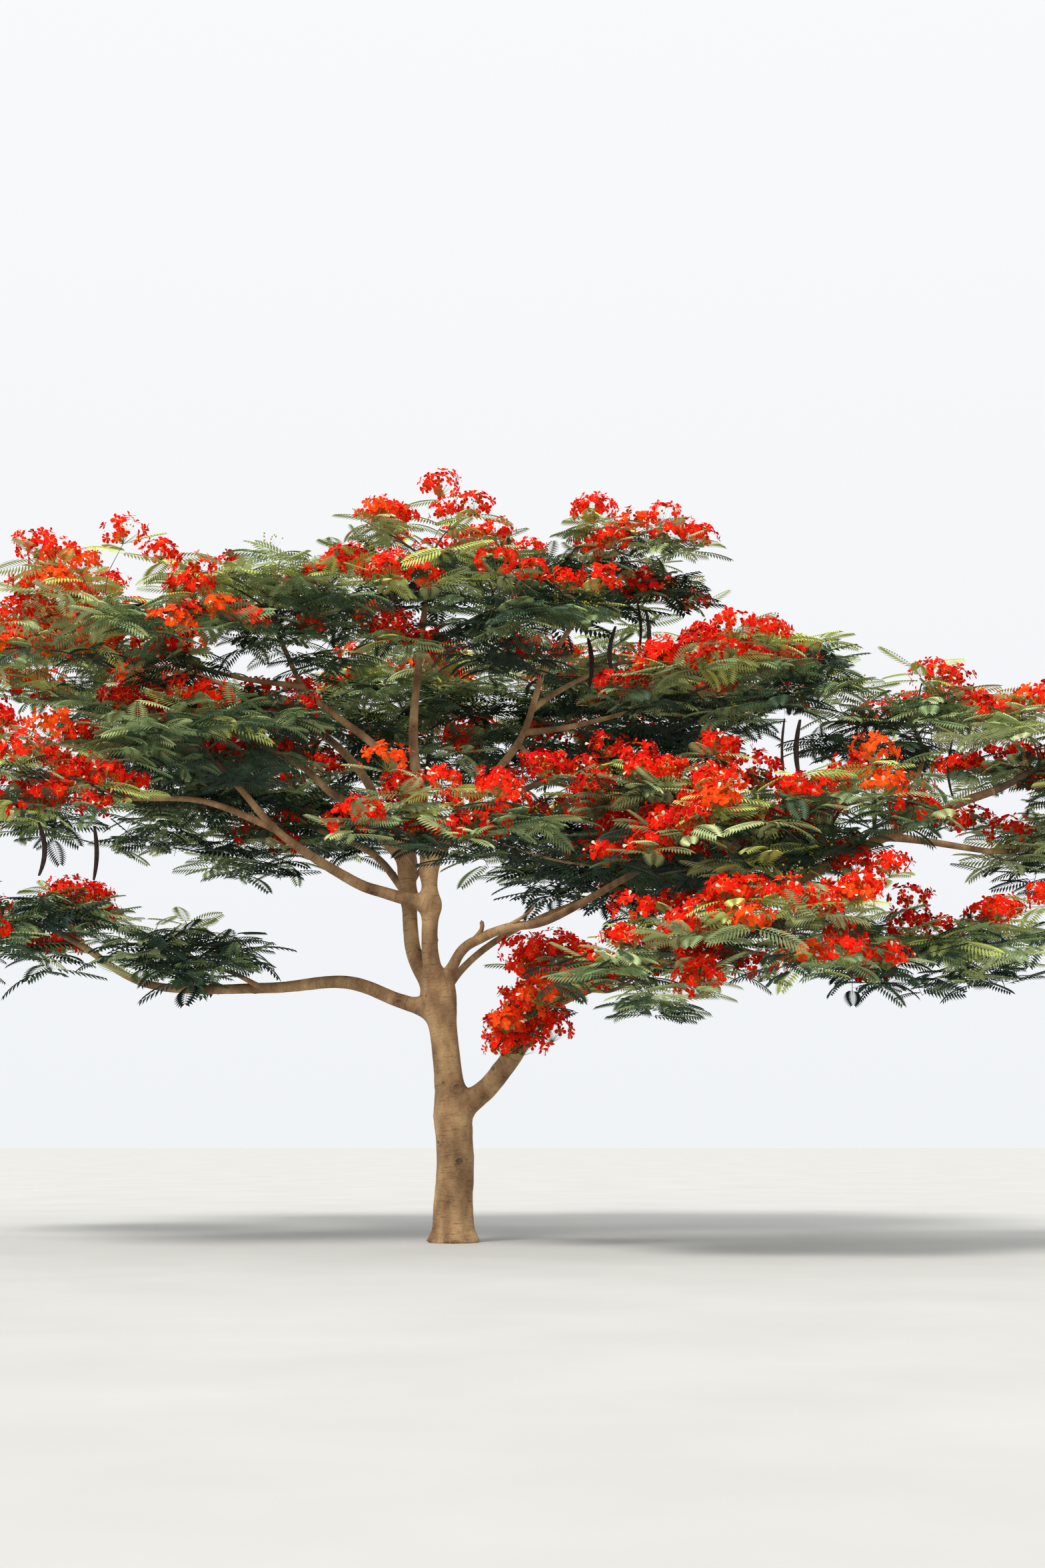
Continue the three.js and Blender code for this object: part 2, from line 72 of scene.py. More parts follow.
# Boughs: the limb that carries each, how far along it, the radii at root and tip, and the way it bends
BOUGHS = {
    "front_leader": ("trunk", 1, (0.1, 0.032), [
        (-0.26, -0.15, 3.07), (-0.26, -0.24, 3.7), (-0.32, -0.25, 4.32), (-0.46, -0.12, 5.4),
        (-0.41, 0, 6.32), (-0.33, 0, 7.15)]),
    "back_stem": ("trunk", 1, (0.098, 0.034), [
        (-0.45, 0.2, 3.1), (-0.52, 0.3, 3.82), (-0.54, 0.3, 4.22), (-0.44, 0.4, 4.55),
        (-0.01, 0.7, 4.66), (0.4, 1.2, 4.92), (1.03, 2, 5.32)]),
    "low_right": ("trunk", 0.52, (0.118, 0.042), [
        (0.33, -0.1, 1.6), (0.6, -0.3, 1.92), (0.98, -0.7, 2.45), (1.54, -1.1, 2.72),
        (2.54, -1.6, 3.16), (3.83, -2.1, 3.82), (5, -2.3, 4.35), (5.4, -2.35, 4.5)]),
    "low_left": ("trunk", 0.93, (0.084, 0.038), [
        (-0.59, 0.05, 2.57), (-1.2, 0.15, 2.78), (-2.1, 0.5, 2.74), (-3.45, 0.9, 2.8),
        (-4.35, 1.15, 3.3)]),
    "right_bough": ("trunk", 0.97, (0.064, 0.034), [
        (0.05, -0.1, 3.06), (0.31, -0.2, 3.24), (0.6, -0.3, 3.34), (1.04, -0.6, 3.4),
        (1.8, -1.7, 3.72)]),
    "right_back": ("trunk", 0.98, (0.044, 0.028), [
        (0.08, 0.2, 2.93), (0.45, 0.65, 3.28), (1, 1.25, 3.62), (1.6, 1.75, 3.9)]),
    "right_leader": ("front_leader", 0.3, (0.056, 0.026), [
        (0.12, -0.4, 4.54), (0.42, -0.4, 4.97), (0.75, -0.3, 5.46), (0.98, -0.1, 6.2),
        (1.3, 0.1, 6.77), (1.5, 0.15, 7.1)]),
    "mid_left": ("front_leader", 0.22, (0.074, 0.034), [
        (-0.74, -0.3, 3.71), (-1.11, -0.45, 3.84), (-1.8, -0.9, 4.26), (-2.25, -1.3, 4.75)]),
    "mid_left_fork": ("mid_left", 0.75, (0.042, 0.026), [(-2.58, -1.3, 4.56), (-3.3, -1.5, 4.56)]),
    "upper_left": ("front_leader", 0.49, (0.054, 0.026), [
        (-0.85, -0.35, 5.3), (-1.31, -0.5, 5.64), (-1.62, -0.6, 5.9), (-1.85, -0.7, 6.35)]),
    "upper_left_fork": ("upper_left", 0.78, (0.036, 0.022), [(-2.16, -0.9, 5.93), (-2.45, -1.1, 5.96)]),
    "back_left_high": ("back_stem", 0.37, (0.06, 0.028), [
        (-0.89, 0.5, 4.5), (-1, 0.8, 5.05), (-1.62, 1.3, 5.76), (-2.91, 2, 6.5), (-3.85, 2.25, 6.78)]),
    "stem_left": ("back_stem", 0.42, (0.062, 0.03), [
        (-0.91, 0.2, 4.64), (-1.35, 0.1, 4.85), (-1.65, 0.1, 5.12), (-2, 0.15, 5.33)]),
    "back_mid": ("back_stem", 0.34, (0.052, 0.03), [(-0.52, 1.2, 4.72), (-0.45, 2.2, 5.35)]),
    "back_left_low": ("back_stem", 0.28, (0.052, 0.03), [(-1, 1.4, 4.35), (-1.7, 2.3, 4.75)]),
    "crown_left": ("front_leader", 0.87, (0.028, 0.018), [(-0.7, -0.25, 6.61), (-0.9, -0.45, 6.65)]),
    "crown_right": ("front_leader", 0.84, (0.028, 0.018), [(-0.17, -0.3, 6.51), (0.1, -0.65, 6.6)]),
    "front_bough": ("front_leader", 0.465, (0.03, 0.02), [(-0.21, -0.9, 4.4), (-0.02, -1.4, 4.18)]),
    "right_b": ("right_leader", 0.58, (0.036, 0.022), [
        (1.19, 0.3, 6.08), (1.74, 1, 6.49), (2.1, 1.3, 6.62)]),
    "right_c": ("right_leader", 0.5, (0.036, 0.02), [(1.26, -0.6, 5.48), (2.05, -1.15, 5.58)]),
    "right_d": ("right_leader", 0.46, (0.03, 0.018), [(0.9, -0.8, 5.05), (1.33, -1.4, 4.62)]),
    "low_right_fork": ("low_right", 0.835, (0.044, 0.028), [
        (4.82, -1.9, 4.06), (5.49, -1.6, 4), (5.7, -1.5, 4.01)]),
    "riser": ("low_right", 0.85, (0.036, 0.024), [(4.7, -1.85, 4.57), (4.85, -1.6, 4.9)]),
    "low_front": ("low_right", 0.35, (0.038, 0.024), [(1.9, -2.2, 2.78), (2.23, -2.7, 2.8)]),
    "low_right_low": ("low_right", 0.525, (0.032, 0.02), [(3.07, -1.7, 2.95), (3.8, -1.8, 2.8)]),
    "low_mid": ("low_right", 0.27, (0.03, 0.02), [(1.38, -1.8, 2.56), (1.55, -2.33, 2.52)]),
    "front_bloom": ("low_right", 0.154, (0.026, 0.018), [(0.78, -0.8, 2.12), (0.8, -1, 2.2)]),
    "right_front": ("low_right", 0.695, (0.032, 0.02), [(3.65, -2.45, 3.95), (3.72, -2.68, 4.08)]),
    "low_left_spur": ("low_left", 0.47, (0.034, 0.02), [(-2.42, 0.3, 2.88), (-2.6, 0.18, 2.93)]),
}
# Bare wood that only the looks have: a dead snag, stubs of lost limbs and thin branches
BARE_WOOD = {
    "snag": ("back_stem", 0.28, (0.05, 0.03), [
        (-0.54, 0.26, 4.5), (-0.52, 0.22, 4.7), (-0.535, 0.2, 4.92)]),
    "back_branch": ("back_stem", 0.3, (0.024, 0.011), [
        (-0.1, 0.36, 4.46), (0.5, 0.42, 4.33), (1.15, 0.5, 4.16), (1.75, 0.8, 4.12)]),
    "stub": ("right_bough", 0.185, (0.03, 0.024), [(0.285, -0.22, 3.3), (0.3, -0.24, 3.4)]),
    "side_stub": ("right_bough", 0.37, (0.028, 0.012), [(0.79, -0.47, 3.47), (0.86, -0.54, 3.55)]),
}
COLLAR = Values(swell=0.3, reach=1.4)
TAPER_POWER = 1.3
THICK_BOUGH = 0.05

# Scars of lost limbs on the trunk: height, turn round the trunk and radius; those of the boughs are seeded
TRUNK_SCARS = [
    (2.09, -1.5, 0.026), (1.63, -1.05, 0.045), (1.5, -0.7, 0.055), (0.85, -1.3, 0.048),
    (1.68, -1.95, 0.022), (1.25, 0.5, 0.042), (0.6, 2.5, 0.05), (1.95, 1.8, 0.03), (1.05, -2.6, 0.034),
]
BOUGH_SCARS = Values(first=0.6, spacing=0.8, stray=0.03, last=0.97, size=(0.28, 0.45), seed=7)
# In units of a scar's radius: the reach, lift and darkness of each ring of its lip and pit, then its middle
SCAR_RINGS = [
    (1.7, -0.5, 0), (1.25, 0.02, 0), (1.0, 0.16, 0.1), (0.82, 0.1, 0.5), (0.62, -0.14, 1), (0.3, -0.1, 0.8),
]
SCAR_MIDDLE = Values(sunk=0.04, dark=0.9)
SCAR_SIDES = 18
# The bark round a scar, in the same units: the middle and width of its lip, its pit and its dark rim
SCAR_BARK = Values(reach=2.5, height=0.1, lip=(1.3, 0.5), pit=(0, 0.8), rim=(1.5, 0.35), dark=0.35)

# The wood's skin: its voxels, the soft blend at its forks, and the lumps and rings of its bark
VOXEL = 0.0172
BLEND = 0.045
BLEND_ROUNDS = 3
MOST_SHIFT = 0.035
NEARBY = 0.5
SURFACE_STEP = 0.015
THICK_TUBE = Values(sides=20, step=0.05)
THIN_TUBE = Values(sides=12, step=0.04)
THIN_SKIN = 0.004
LUMPS = [(0.22, 3, 0.03), (0.09, 5, 0.016)]
BARK_RINGS = Values(cell=(0.13, 0.13, 0.045), seed=7, height=0.0018, radius=0.2)

# Foliage: the middle and reach of each mass's space, its twigs, how many of them bloom, and groups of pods
MASSES = {
    "low_left": ((-5.25, 1.5, 3.45), (1.5, 1.45, 0.75), 5, 2, 0),
    "low_left_spur": ((-2.95, -0.1, 3), (1.05, 1, 0.55), 4, 0, 0),
    "mid_left": ((-2.7, -1.65, 5.05), (1.45, 1.25, 0.8), 5, 2, 0),
    "mid_left_fork": ((-4.3, -1.75, 4.56), (1.45, 1.4, 0.95), 5, 4, 1),
    "upper_left": ((-1.95, -0.8, 6.78), (1.5, 1.4, 0.85), 5, 1, 0),
    "upper_left_fork": ((-3.3, -1.6, 6.28), (1.5, 1.4, 0.85), 5, 4, 0),
    "back_left_high": ((-4.85, 2.3, 6.66), (1.8, 1.7, 0.95), 6, 4, 0),
    "stem_left": ((-2.85, 0.45, 5.6), (1.6, 1.5, 0.9), 5, 1, 1),
    "front_leader": ((-0.28, 0, 7.4), (1.3, 1.25, 0.85), 5, 2, 0),
    "crown_left": ((-1.15, -1.05, 6.5), (1.2, 1.15, 0.95), 4, 2, 0),
    "crown_right": ((0.55, -1.15, 6.45), (1.25, 1.15, 0.95), 4, 1, 0),
    "right_leader": ((1.58, 0.3, 7.28), (1.5, 1.4, 0.85), 6, 4, 2),
    "right_b": ((2.95, 1.65, 6.52), (1.65, 1.55, 0.9), 5, 2, 0),
    "right_c": ((2.95, -1.6, 5.65), (1.5, 1.3, 0.85), 5, 3, 1),
    "right_d": ((2, -2.25, 4.36), (1.3, 1.15, 0.7), 4, 4, 0),
    "back_stem": ((1.85, 3, 6.15), (2.1, 1.9, 1.5), 6, 2, 1),
    "back_mid": ((-0.35, 3.25, 6.1), (2.05, 1.8, 1.7), 6, 1, 0),
    "back_left_low": ((-2.6, 3.2, 5), (1.95, 1.75, 1.6), 6, 1, 0),
    "right_bough": ((2.75, -2.85, 3.85), (1.45, 1.25, 0.75), 5, 4, 0),
    "right_back": ((2.5, 2.65, 4.35), (2.2, 1.9, 1.3), 6, 1, 0),
    "low_right": ((6.15, -2.45, 4.75), (1.3, 1.3, 0.9), 5, 4, 0),
    "low_right_fork": ((6.5, -1.05, 4.05), (1.2, 1.15, 0.75), 4, 2, 0),
    "riser": ((4.7, -1.2, 5.3), (1.42, 1.25, 0.9), 5, 2, 1),
    "low_front": ((3, -3.5, 2.9), (1.45, 1.2, 0.75), 4, 4, 0),
    "front_bloom": ((0.9, -1.5, 2.42), (0.56, 0.58, 0.86), 4, 4, 0),
    "low_mid": ((2, -3.15, 2.6), (1.12, 1.1, 0.7), 4, 2, 0),
    "low_right_low": ((4.8, -1.95, 2.85), (1.45, 1.3, 0.7), 5, 2, 0),
    "front_bough": ((0.25, -2.3, 4.1), (1.5, 1.1, 0.6), 4, 3, 0),
    "right_front": ((3.85, -3.25, 4.15), (1.2, 1.05, 0.6), 4, 3, 0),
}
MASS_NODES = ["foliage_" + name for name in MASSES]
CENTRES = np.array([mass[0] for mass in MASSES.values()])
REACHES = np.array([mass[1] for mass in MASSES.values()])
FIRST_SEED = 103
GENERATOR_STEP = 48271
GENERATOR_SIZE = 2147483647
SPACE_MARGIN = 0.04
GOLDEN_SHARE = (math.sqrt(5) - 1) / 2
GOLDEN_ANGLE = 2 * math.pi * (1 - GOLDEN_SHARE)
STEM = Values(top=0.25, overlap=0.02, tip=0.012, rings=17, sides=8)
TWIG = Values(arch=0.14, roots=(0.9, 0.45), radii=(0.0135, 0.007), rings=11, sides=6)
TWIG_FAN = Values(spread=0.62, first=0.9, height=0.4, fall=0.6, stagger=0.6)
TRY_SCALES = (1, 0.85, 0.7)

# Finer growth that only the looks have: a tip for each such area of the face that a mass shows, with its own
# area for masses further back than BACK, and shoots that reach the tips from spots on the twigs
TIP_AREA = 0.116
BACK = 2.5
BACK_TIP_AREA = 0.09
LAYER_SHARE = 0.7549
TIP_FAN = Values(spread=0.9, height=0.13, stagger=1.2, depth=0.55, turn=1.3)
# DRAPE's light is the painted light given to a hanging mass's flowers, which turns many of them to the lit
# orange tint
DRAPE = Values(area=0.042, height=0.07, stagger=1.45, lean=0.5, pinch=0.45, light=1.05)
TIP_JITTER = Values(most=0.09, shares=(1, 1, 0.8))
LIFTED = Values(share=0.12, rise=(0.12, 0.36), most=1.3)
TIP_SPACE = Values(most=0.97, top_gap=0.1)
SHOOT = Values(span=(0.4, 0.96), spots=12, bend=0.45, lift=0.1, radii=(0.0065, 0.0035), rings=4, sides=3)
SHOOT_COST = Values(base=1.25, straight=0.45, near=0.12, crowded=0.6)

# Leaves: how many at a tip, how they lie, their pairs of pinnae, and a pinna's width for a metre of leaf
SPRAY_LEAVES = (7, 9)
BLOOM_LEAVES = (4, 6)
DRAPE_FEWER = 3
LEAF_LENGTH = (0.38, 0.52)
LEAF_BACK = Values(each=0.03, stray=0.02)
LEAF_STRAY = 0.25
LEAF_PITCH = (-0.35, 0.6)
LEAF_LIFT = 0.1
LEAF_ROLL = 0.3
LEAF_DROOP = (0.1, 0.75)
LEAF_SLACK = Values(inside=1.12, outside=0.25)
LIT_PINNAE = (13, 0.051)
SHADE_PINNAE = (10, 0.074)
SHADE_TINTS = 2
SHADE_GROWTH = 1.28
INNER_DEPTH = 0.8
PINNA = Values(at=(0.13, 0.97), length=0.285, swell=(0.17, 0.89), power=0.75, lean=(68, 42),
               fall=-0.1, arch=0.012, sag=0.02)
MIDRIB = Values(half=0.009, taper=0.75, lift=0.004, rings=3)

# Blossom: which tips bloom, the heads of flowers on them, and one flower of radius 1
BLOOM = Values(owned=0.68, top=0.24, floor=-0.35, behind=0.35, rim=0.85, sunny=0.05, crest=7.7,
               outer=0.3, budding=0.35)
HEAD = Values(flowers=(18, 26), radius=(0.15, 0.22), cover=1.25, stray=0.25, lift=0.6,
              shell=(0.75, 1.15), squash=(1.15, 1.15, 0.8))
FLOWER_RADIUS = (0.054, 0.068)
WHITE_SHARE = 0.3
BUD_HEAD = Values(count=(4, 8), more=6, lean=0.9, reach=(0.12, 0.24), size=(0.009, 0.014))
STALK = Values(flower=0.0025, bud=0.002, pod=0.004, gap=0.01)
PETAL_OUTLINE = [(0.05, 0), (0.74, -1), (1.08, -0.5), (1.08, 0.5), (0.74, 1)]
PETAL_BEND = Values(start=0.5, by=0.5)
PETAL = Values(turns=(20, 95, 165, 238), stray=0.1, tilt=(-0.1, 0.55), width=(0.36, 0.45),
               length=(0.9, 1.1), forms=3)
SEPAL = Values(turns=(57, 130, 202, 273, 344), tilt=-0.02, length=0.9, width=0.13, back=0.05)
POD = Values(length=(0.5, 0.64), width=0.055, thickness=0.014, more=3, near=0.4, drop=0.12,
             bow=(0.04, 0.14), ridge=0.16, seed=0.021, rings=36, sides=10)

# Painted light and shade: how high and far out a tip lies in the crown sets the tint of its leaves and
# flowers, lit high and outside, shaded deep inside, low down and at the back
CROWN_MIDDLE = np.array([0.5, 0, 3.9])
CROWN_REACH = np.array([8.4, 5, 4.5])
LEAF_LIGHT = Values(base=0.12, depth=0.5, height=0.32, bloom=0.12, back=0.04, stray=0.17)
TINT_LEVELS = (0.32, 0.45, 0.58, 0.77)
FLOWER_LIGHT = Values(stray=0.16, crimson=0.62, vermilion=1.03)

# Any turn at all, and directions that a limb's, a flower's and a stalk's own sides are turned from
ANY_TURN = (0, 6.28)
LIMB_SIDE = np.array([0.31, 0.95, 0.05])
FLOWER_SIDE = np.array([0.12, 0.33, 0.94])
STALK_SIDE = np.array([0.41, 0.27, 0.87])
# Large odd numbers that scatter a cell's place into noise
CELL_SCATTER = (73856093, 19349663, 83492791)
SEED_SCATTER = 2654435761
LAST_SCATTER = 1274126177


def first_draw(seed):
    """The first number of the source's own generator, so that each mass starts its fan at the same turn."""
    return seed * GENERATOR_STEP**2 % GENERATOR_SIZE / GENERATOR_SIZE


def unit(vectors):
    return vectors / np.maximum(np.linalg.norm(vectors, axis=-1, keepdims=True), 1e-12)


def level_pair(turn):
    """Level directions out at a turn round +Z, and across it."""
    return np.array([math.cos(turn), math.sin(turn), 0]), np.array([-math.sin(turn), math.cos(turn), 0])


def from_pole(lean, turn):
    """Directions that lean from +Z, at turns round it."""
    return np.stack([np.sin(lean) * np.cos(turn), np.sin(lean) * np.sin(turn), np.cos(lean)], 1)


def bell(values, middle, width):
    return np.exp(-(((values - middle) / width) ** 2))


class Path:
    """A smooth line, read by share of its length."""

    def __init__(self, samples):
        self.samples = samples
        steps = np.linalg.norm(np.diff(samples, axis=0), axis=1)
        self.run = np.concatenate([[0.0], np.cumsum(steps)])
        self.length = self.run[-1]

    def at(self, share):
        reach = np.asarray(share, float) * self.length
        return np.stack([np.interp(reach, self.run, self.samples[:, k]) for k in range(3)], axis=-1)

    def ahead(self, share):
        share = np.asarray(share, float)
        step = 0.004
        return unit(self.at(np.minimum(share + step, 1)) - self.at(np.maximum(share - step, 0)))


def curve_through(points):
    """The source's spline: a point's slope is half the way between its neighbours."""
    p = np.array(points, float)
    p = np.vstack([2 * p[0] - p[1], p, 2 * p[-1] - p[-2]])
    t = np.linspace(0, 1, 24, endpoint=False)[:, None]
    spans = []
    for i in range(1, len(p) - 2):
        slope, next_slope = (p[i + 1] - p[i - 1]) / 2, (p[i + 2] - p[i]) / 2
        rise = p[i + 1] - p[i]
        spans.append(p[i] + slope * t + (3 * rise - 2 * slope - next_slope) * t**2
                     + (slope + next_slope - 2 * rise) * t**3)
    return Path(np.vstack([*spans, p[-2:-1]]))


def bezier(a, b, c):
    t = np.linspace(0, 1, 16)[:, None]
    return Path((1 - t) ** 2 * a + 2 * t * (1 - t) * b + t**2 * c)


def value_noise(points, seed):
    """Smooth noise from -1 to 1, one cell a unit wide."""
    cell = np.floor(points).astype(np.int64)
    part = points - cell
    ease = part * part * (3 - 2 * part)
    total = np.zeros(len(points))
    for corner in np.ndindex(2, 2, 2):
        x, y, z = ((cell + corner) * CELL_SCATTER).T
        mixed = x ^ y ^ z ^ (seed * SEED_SCATTER)
        mixed = (mixed ^ (mixed >> 13)) * LAST_SCATTER & 0x7FFFFFFF
        level = (mixed ^ (mixed >> 16)) % 65536 / 32768 - 1
        total += level * np.prod(np.where(corner, ease, 1 - ease), axis=1)
    return total


# Meshes
def circle(sides):
    """Cosines and sines of even turns, one row each."""
    turn = 2 * np.pi * np.arange(sides) / sides
    return np.cos(turn)[:, None], np.sin(turn)[:, None]


def ring_walls(rings, sides):
    """Two triangles a side between rings of corners, facing out of a tube as tubes() turns its rings."""
    i, j = np.meshgrid(np.arange(rings - 1), np.arange(sides), indexing="ij")
    a, b = (i * sides + j).ravel(), (i * sides + (j + 1) % sides).ravel()
    return np.concatenate([np.stack([a, a + sides, b + sides], 1), np.stack([a, b + sides, b], 1)])


def fan(middle, first, sides):
    """Triangles from a middle corner to the ring of corners that starts at first."""
    around = np.arange(sides)
    return np.stack([np.full(sides, middle), first + around, first + (around + 1) % sides], 1)


def tubes(lines, radii, sides):
    """Closed tubes along lines of shape (n, rings, 3): all corners, and all triangles facing out."""
    n, rings, _ = lines.shape
    ahead = unit(np.gradient(lines, axis=1))
    across = np.linalg.svd(lines - lines.mean(axis=1, keepdims=True), full_matrices=False)[2][:, -1]
    side = unit(np.cross(ahead, across[:, None]))
    rise = np.cross(side, ahead)
    cos, sin = circle(sides)
    ring = side[:, :, None] * cos + rise[:, :, None] * sin
    radii = np.broadcast_to(radii, (n, rings))
    corners = lines[:, :, None] + ring * radii[:, :, None, None]
    ends = np.stack([lines[:, 0], lines[:, -1] + ahead[:, -1] * radii[:, -1:]], axis=1)
    corners = np.concatenate([corners.reshape(n, -1, 3), ends], axis=1)

    foot = fan(rings * sides, 0, sides)
    tip = fan(rings * sides + 1, (rings - 1) * sides, sides)[:, [0, 2, 1]]
    return spread_out(corners, np.concatenate([ring_walls(rings, sides), foot, tip]))


def tapered(lines, radii, sides):
    """Tubes along lines of the same count of rings, from one radius to another."""
    lines = np.asarray(lines)
    taper = np.linspace(*radii, lines.shape[1])[None].repeat(len(lines), 0)
    return tubes(lines, taper, sides)


def spread_out(corners, faces):
    """Copies (n, corners, 3) of one shape, with its faces numbered on from copy to copy."""
    n, count, _ = corners.shape
    numbered = faces[None] + count * np.arange(n)[:, None, None]
    return corners.reshape(-1, 3), numbered.reshape(-1, 3)


def joined(shapes):
    """Shapes as one: all corners, and all faces numbered on from shape to shape."""
    starts = np.cumsum([0] + [len(corners) for corners, _ in shapes])
    faces = [shape[1] + start for shape, start in zip(shapes, starts)]
    return np.concatenate([corners for corners, _ in shapes]), np.concatenate(faces)


def linked(name, data):
    made = bpy.data.objects.new(name, data)
    bpy.context.collection.objects.link(made)
    return made


def piece(name, corners, faces, material, slot, nodes, smooth=False):
    """A mesh on the tree that stands for these nodes; its slot is not used."""
    mesh = bpy.data.meshes.new(name)
    mesh.vertices.add(len(corners))
    mesh.vertices.foreach_set("co", corners.astype(np.float32).ravel())
    mesh.loops.add(faces.size)
    mesh.loops.foreach_set("vertex_index", faces.astype(np.int32).ravel())
    mesh.polygons.add(len(faces))
    mesh.polygons.foreach_set("loop_start", np.arange(0, faces.size, faces.shape[1], dtype=np.int32))
    mesh.polygons.foreach_set("use_smooth", np.full(len(faces), smooth))
    mesh.update(calc_edges=True)
    mesh.materials.append(material)
    made = linked(name, mesh)
    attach(made, "root")
    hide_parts(*nodes)
    return made


# Limbs
def bough_radii(share, length, base, tip):
    collar = COLLAR.swell * base * np.exp(-share * length / (COLLAR.reach * base))
    return tip + (base - tip) * (1 - share) ** TAPER_POWER + collar


def trunk_radii(heights):
    return np.interp(heights, *zip(*TRUNK_RADII))


def foot_radii(heights, turns):
    """The trunk's radii with the lobes of its roots."""
    fading = ROOT_LOBES.depth * np.exp(-heights / ROOT_LOBES.height)
    return trunk_radii(heights) * (1 + fading * np.cos(ROOT_LOBES.count * turns))


def make_limbs():
    """Each limb's path, and its radius by share of that path."""
    trunk = curve_through(TRUNK_PATH)
    limbs = {"trunk": Values(path=trunk, radius=lambda share: trunk_radii(trunk.at(share)[..., 2]),
                             thick=True, foot=True)}
    for name, (carrier, at, (base, tip), via) in [*BOUGHS.items(), *BARE_WOOD.items()]:
        path = curve_through([limbs[carrier].path.at(at), *via])

        def radius(share, path=path, base=base, tip=tip):
            return bough_radii(np.asarray(share, float), path.length, base, tip)

        limbs[name] = Values(path=path, radius=radius, thick=base > THICK_BOUGH, foot=False)
    return limbs


def limb_tube(limb, tube):
    share = np.linspace(0, 1, max(4, round(limb.path.length / tube.step)) + 1)
    return tubes(limb.path.at(share)[None], limb.radius(share)[None], tube.sides)


def scars_on(limbs):
    """Middle, outward direction and radius of each scar on the trunk and thick boughs."""
    rng = np.random.default_rng(BOUGH_SCARS.seed)
    scars = []
    for height, turn, size in TRUNK_SCARS:
        out, _ = level_pair(turn)
        middle = limbs["trunk"].path.at(height / TRUNK_PATH[-1][2])
        scars.append((middle + trunk_radii(height) * out, out, size))
    for name in BOUGHS:
        limb = limbs[name]
        if not limb.thick:
            continue
        length = limb.path.length
        for share in np.arange(BOUGH_SCARS.first, length, BOUGH_SCARS.spacing) / length:
            share = min(share + rng.uniform(-BOUGH_SCARS.stray, BOUGH_SCARS.stray), BOUGH_SCARS.last)
            side = unit(np.cross(limb.path.ahead(share), rng.normal(0, 1, 3)))
            radius = limb.radius(share)
            size = radius * rng.uniform(*BOUGH_SCARS.size)
            scars.append((limb.path.at(share) + side * radius, side, size))
    return scars


def scar_collars(scars):
    """The raised lip and sunk, dark middle of each scar, and how dark each corner is."""
    cos, sin = circle(SCAR_SIDES)
    last = (len(SCAR_RINGS) - 1) * SCAR_SIDES
    pit = fan(last + SCAR_SIDES, last, SCAR_SIDES)
    faces = np.concatenate([ring_walls(len(SCAR_RINGS), SCAR_SIDES)[:, ::-1], pit])
    shapes = []
    for middle, out, size in scars:
        side = unit(np.cross(out, UP + 0.01))
        rise = np.cross(side, out)
        squash = 0.8 + 0.15 * math.sin(9 * middle[2])
        ring = side * cos + rise * sin * squash
        rows = [middle + size * (ring * reach + out * lift) for reach, lift, _ in SCAR_RINGS]
        shapes.append((np.vstack([*rows, middle - out * size * SCAR_MIDDLE.sunk]), faces))
    dark = np.repeat([ring[2] for ring in SCAR_RINGS], SCAR_SIDES)
    return *joined(shapes), np.tile([*dark, SCAR_MIDDLE.dark], len(scars))


def remeshed(corners, faces):
    """One skin over overlapping closed shapes, as corners and quads."""
    mesh = bpy.data.meshes.new("raw_wood")
    mesh.from_pydata(corners.tolist(), [], faces.tolist())
    raw = linked("raw_wood", mesh)
    skin = raw.modifiers.new("skin", "REMESH")
    skin.mode = "VOXEL"
    skin.voxel_size = VOXEL
    done = raw.evaluated_get(bpy.context.evaluated_depsgraph_get()).to_mesh()
    places = np.empty(len(done.vertices) * 3)
    done.vertices.foreach_get("co", places)
    quads = np.empty(len(done.loops), dtype=np.int64)
    done.loops.foreach_get("vertex_index", quads)
    bpy.data.objects.remove(raw)
    bpy.data.meshes.remove(mesh)
    return places.reshape(-1, 3), quads.reshape(-1, 4)


def on_limb(points, limb, run=20000):
    """How far each point is outside a limb, and its place on it: X and Y go round the limb, Z along it."""
    path = limb.path
    share = np.linspace(0, 1, max(8, round(path.length / SURFACE_STEP)))
    middles, ahead = path.at(share), path.ahead(share)
    nearest = np.empty(len(points), dtype=int)
    weight = (middles**2).sum(axis=1)
    for start in range(0, len(points), run):
        some = points[start : start + run]
        nearest[start : start + run] = np.argmin(weight - 2 * some @ middles.T, axis=1)
    away = points - middles[nearest]
    along = np.clip((away * ahead[nearest]).sum(axis=1), -SURFACE_STEP / 2, SURFACE_STEP / 2)
    away -= along[:, None] * ahead[nearest]
    across = unit(np.cross(ahead[nearest], LIMB_SIDE))
    turn = np.arctan2((away * np.cross(ahead[nearest], across)).sum(axis=1), (away * across).sum(axis=1))
    at = share[nearest] + along / path.length
    if limb.foot:
        radius = foot_radii(points[:, 2], np.arctan2(away[:, 1], away[:, 0]))
    else:
        radius = limb.radius(np.clip(at, 0, 1))
    place = np.stack([np.cos(turn) * radius, np.sin(turn) * radius, at * path.length], axis=1)
    return np.linalg.norm(away, axis=1) - radius, place


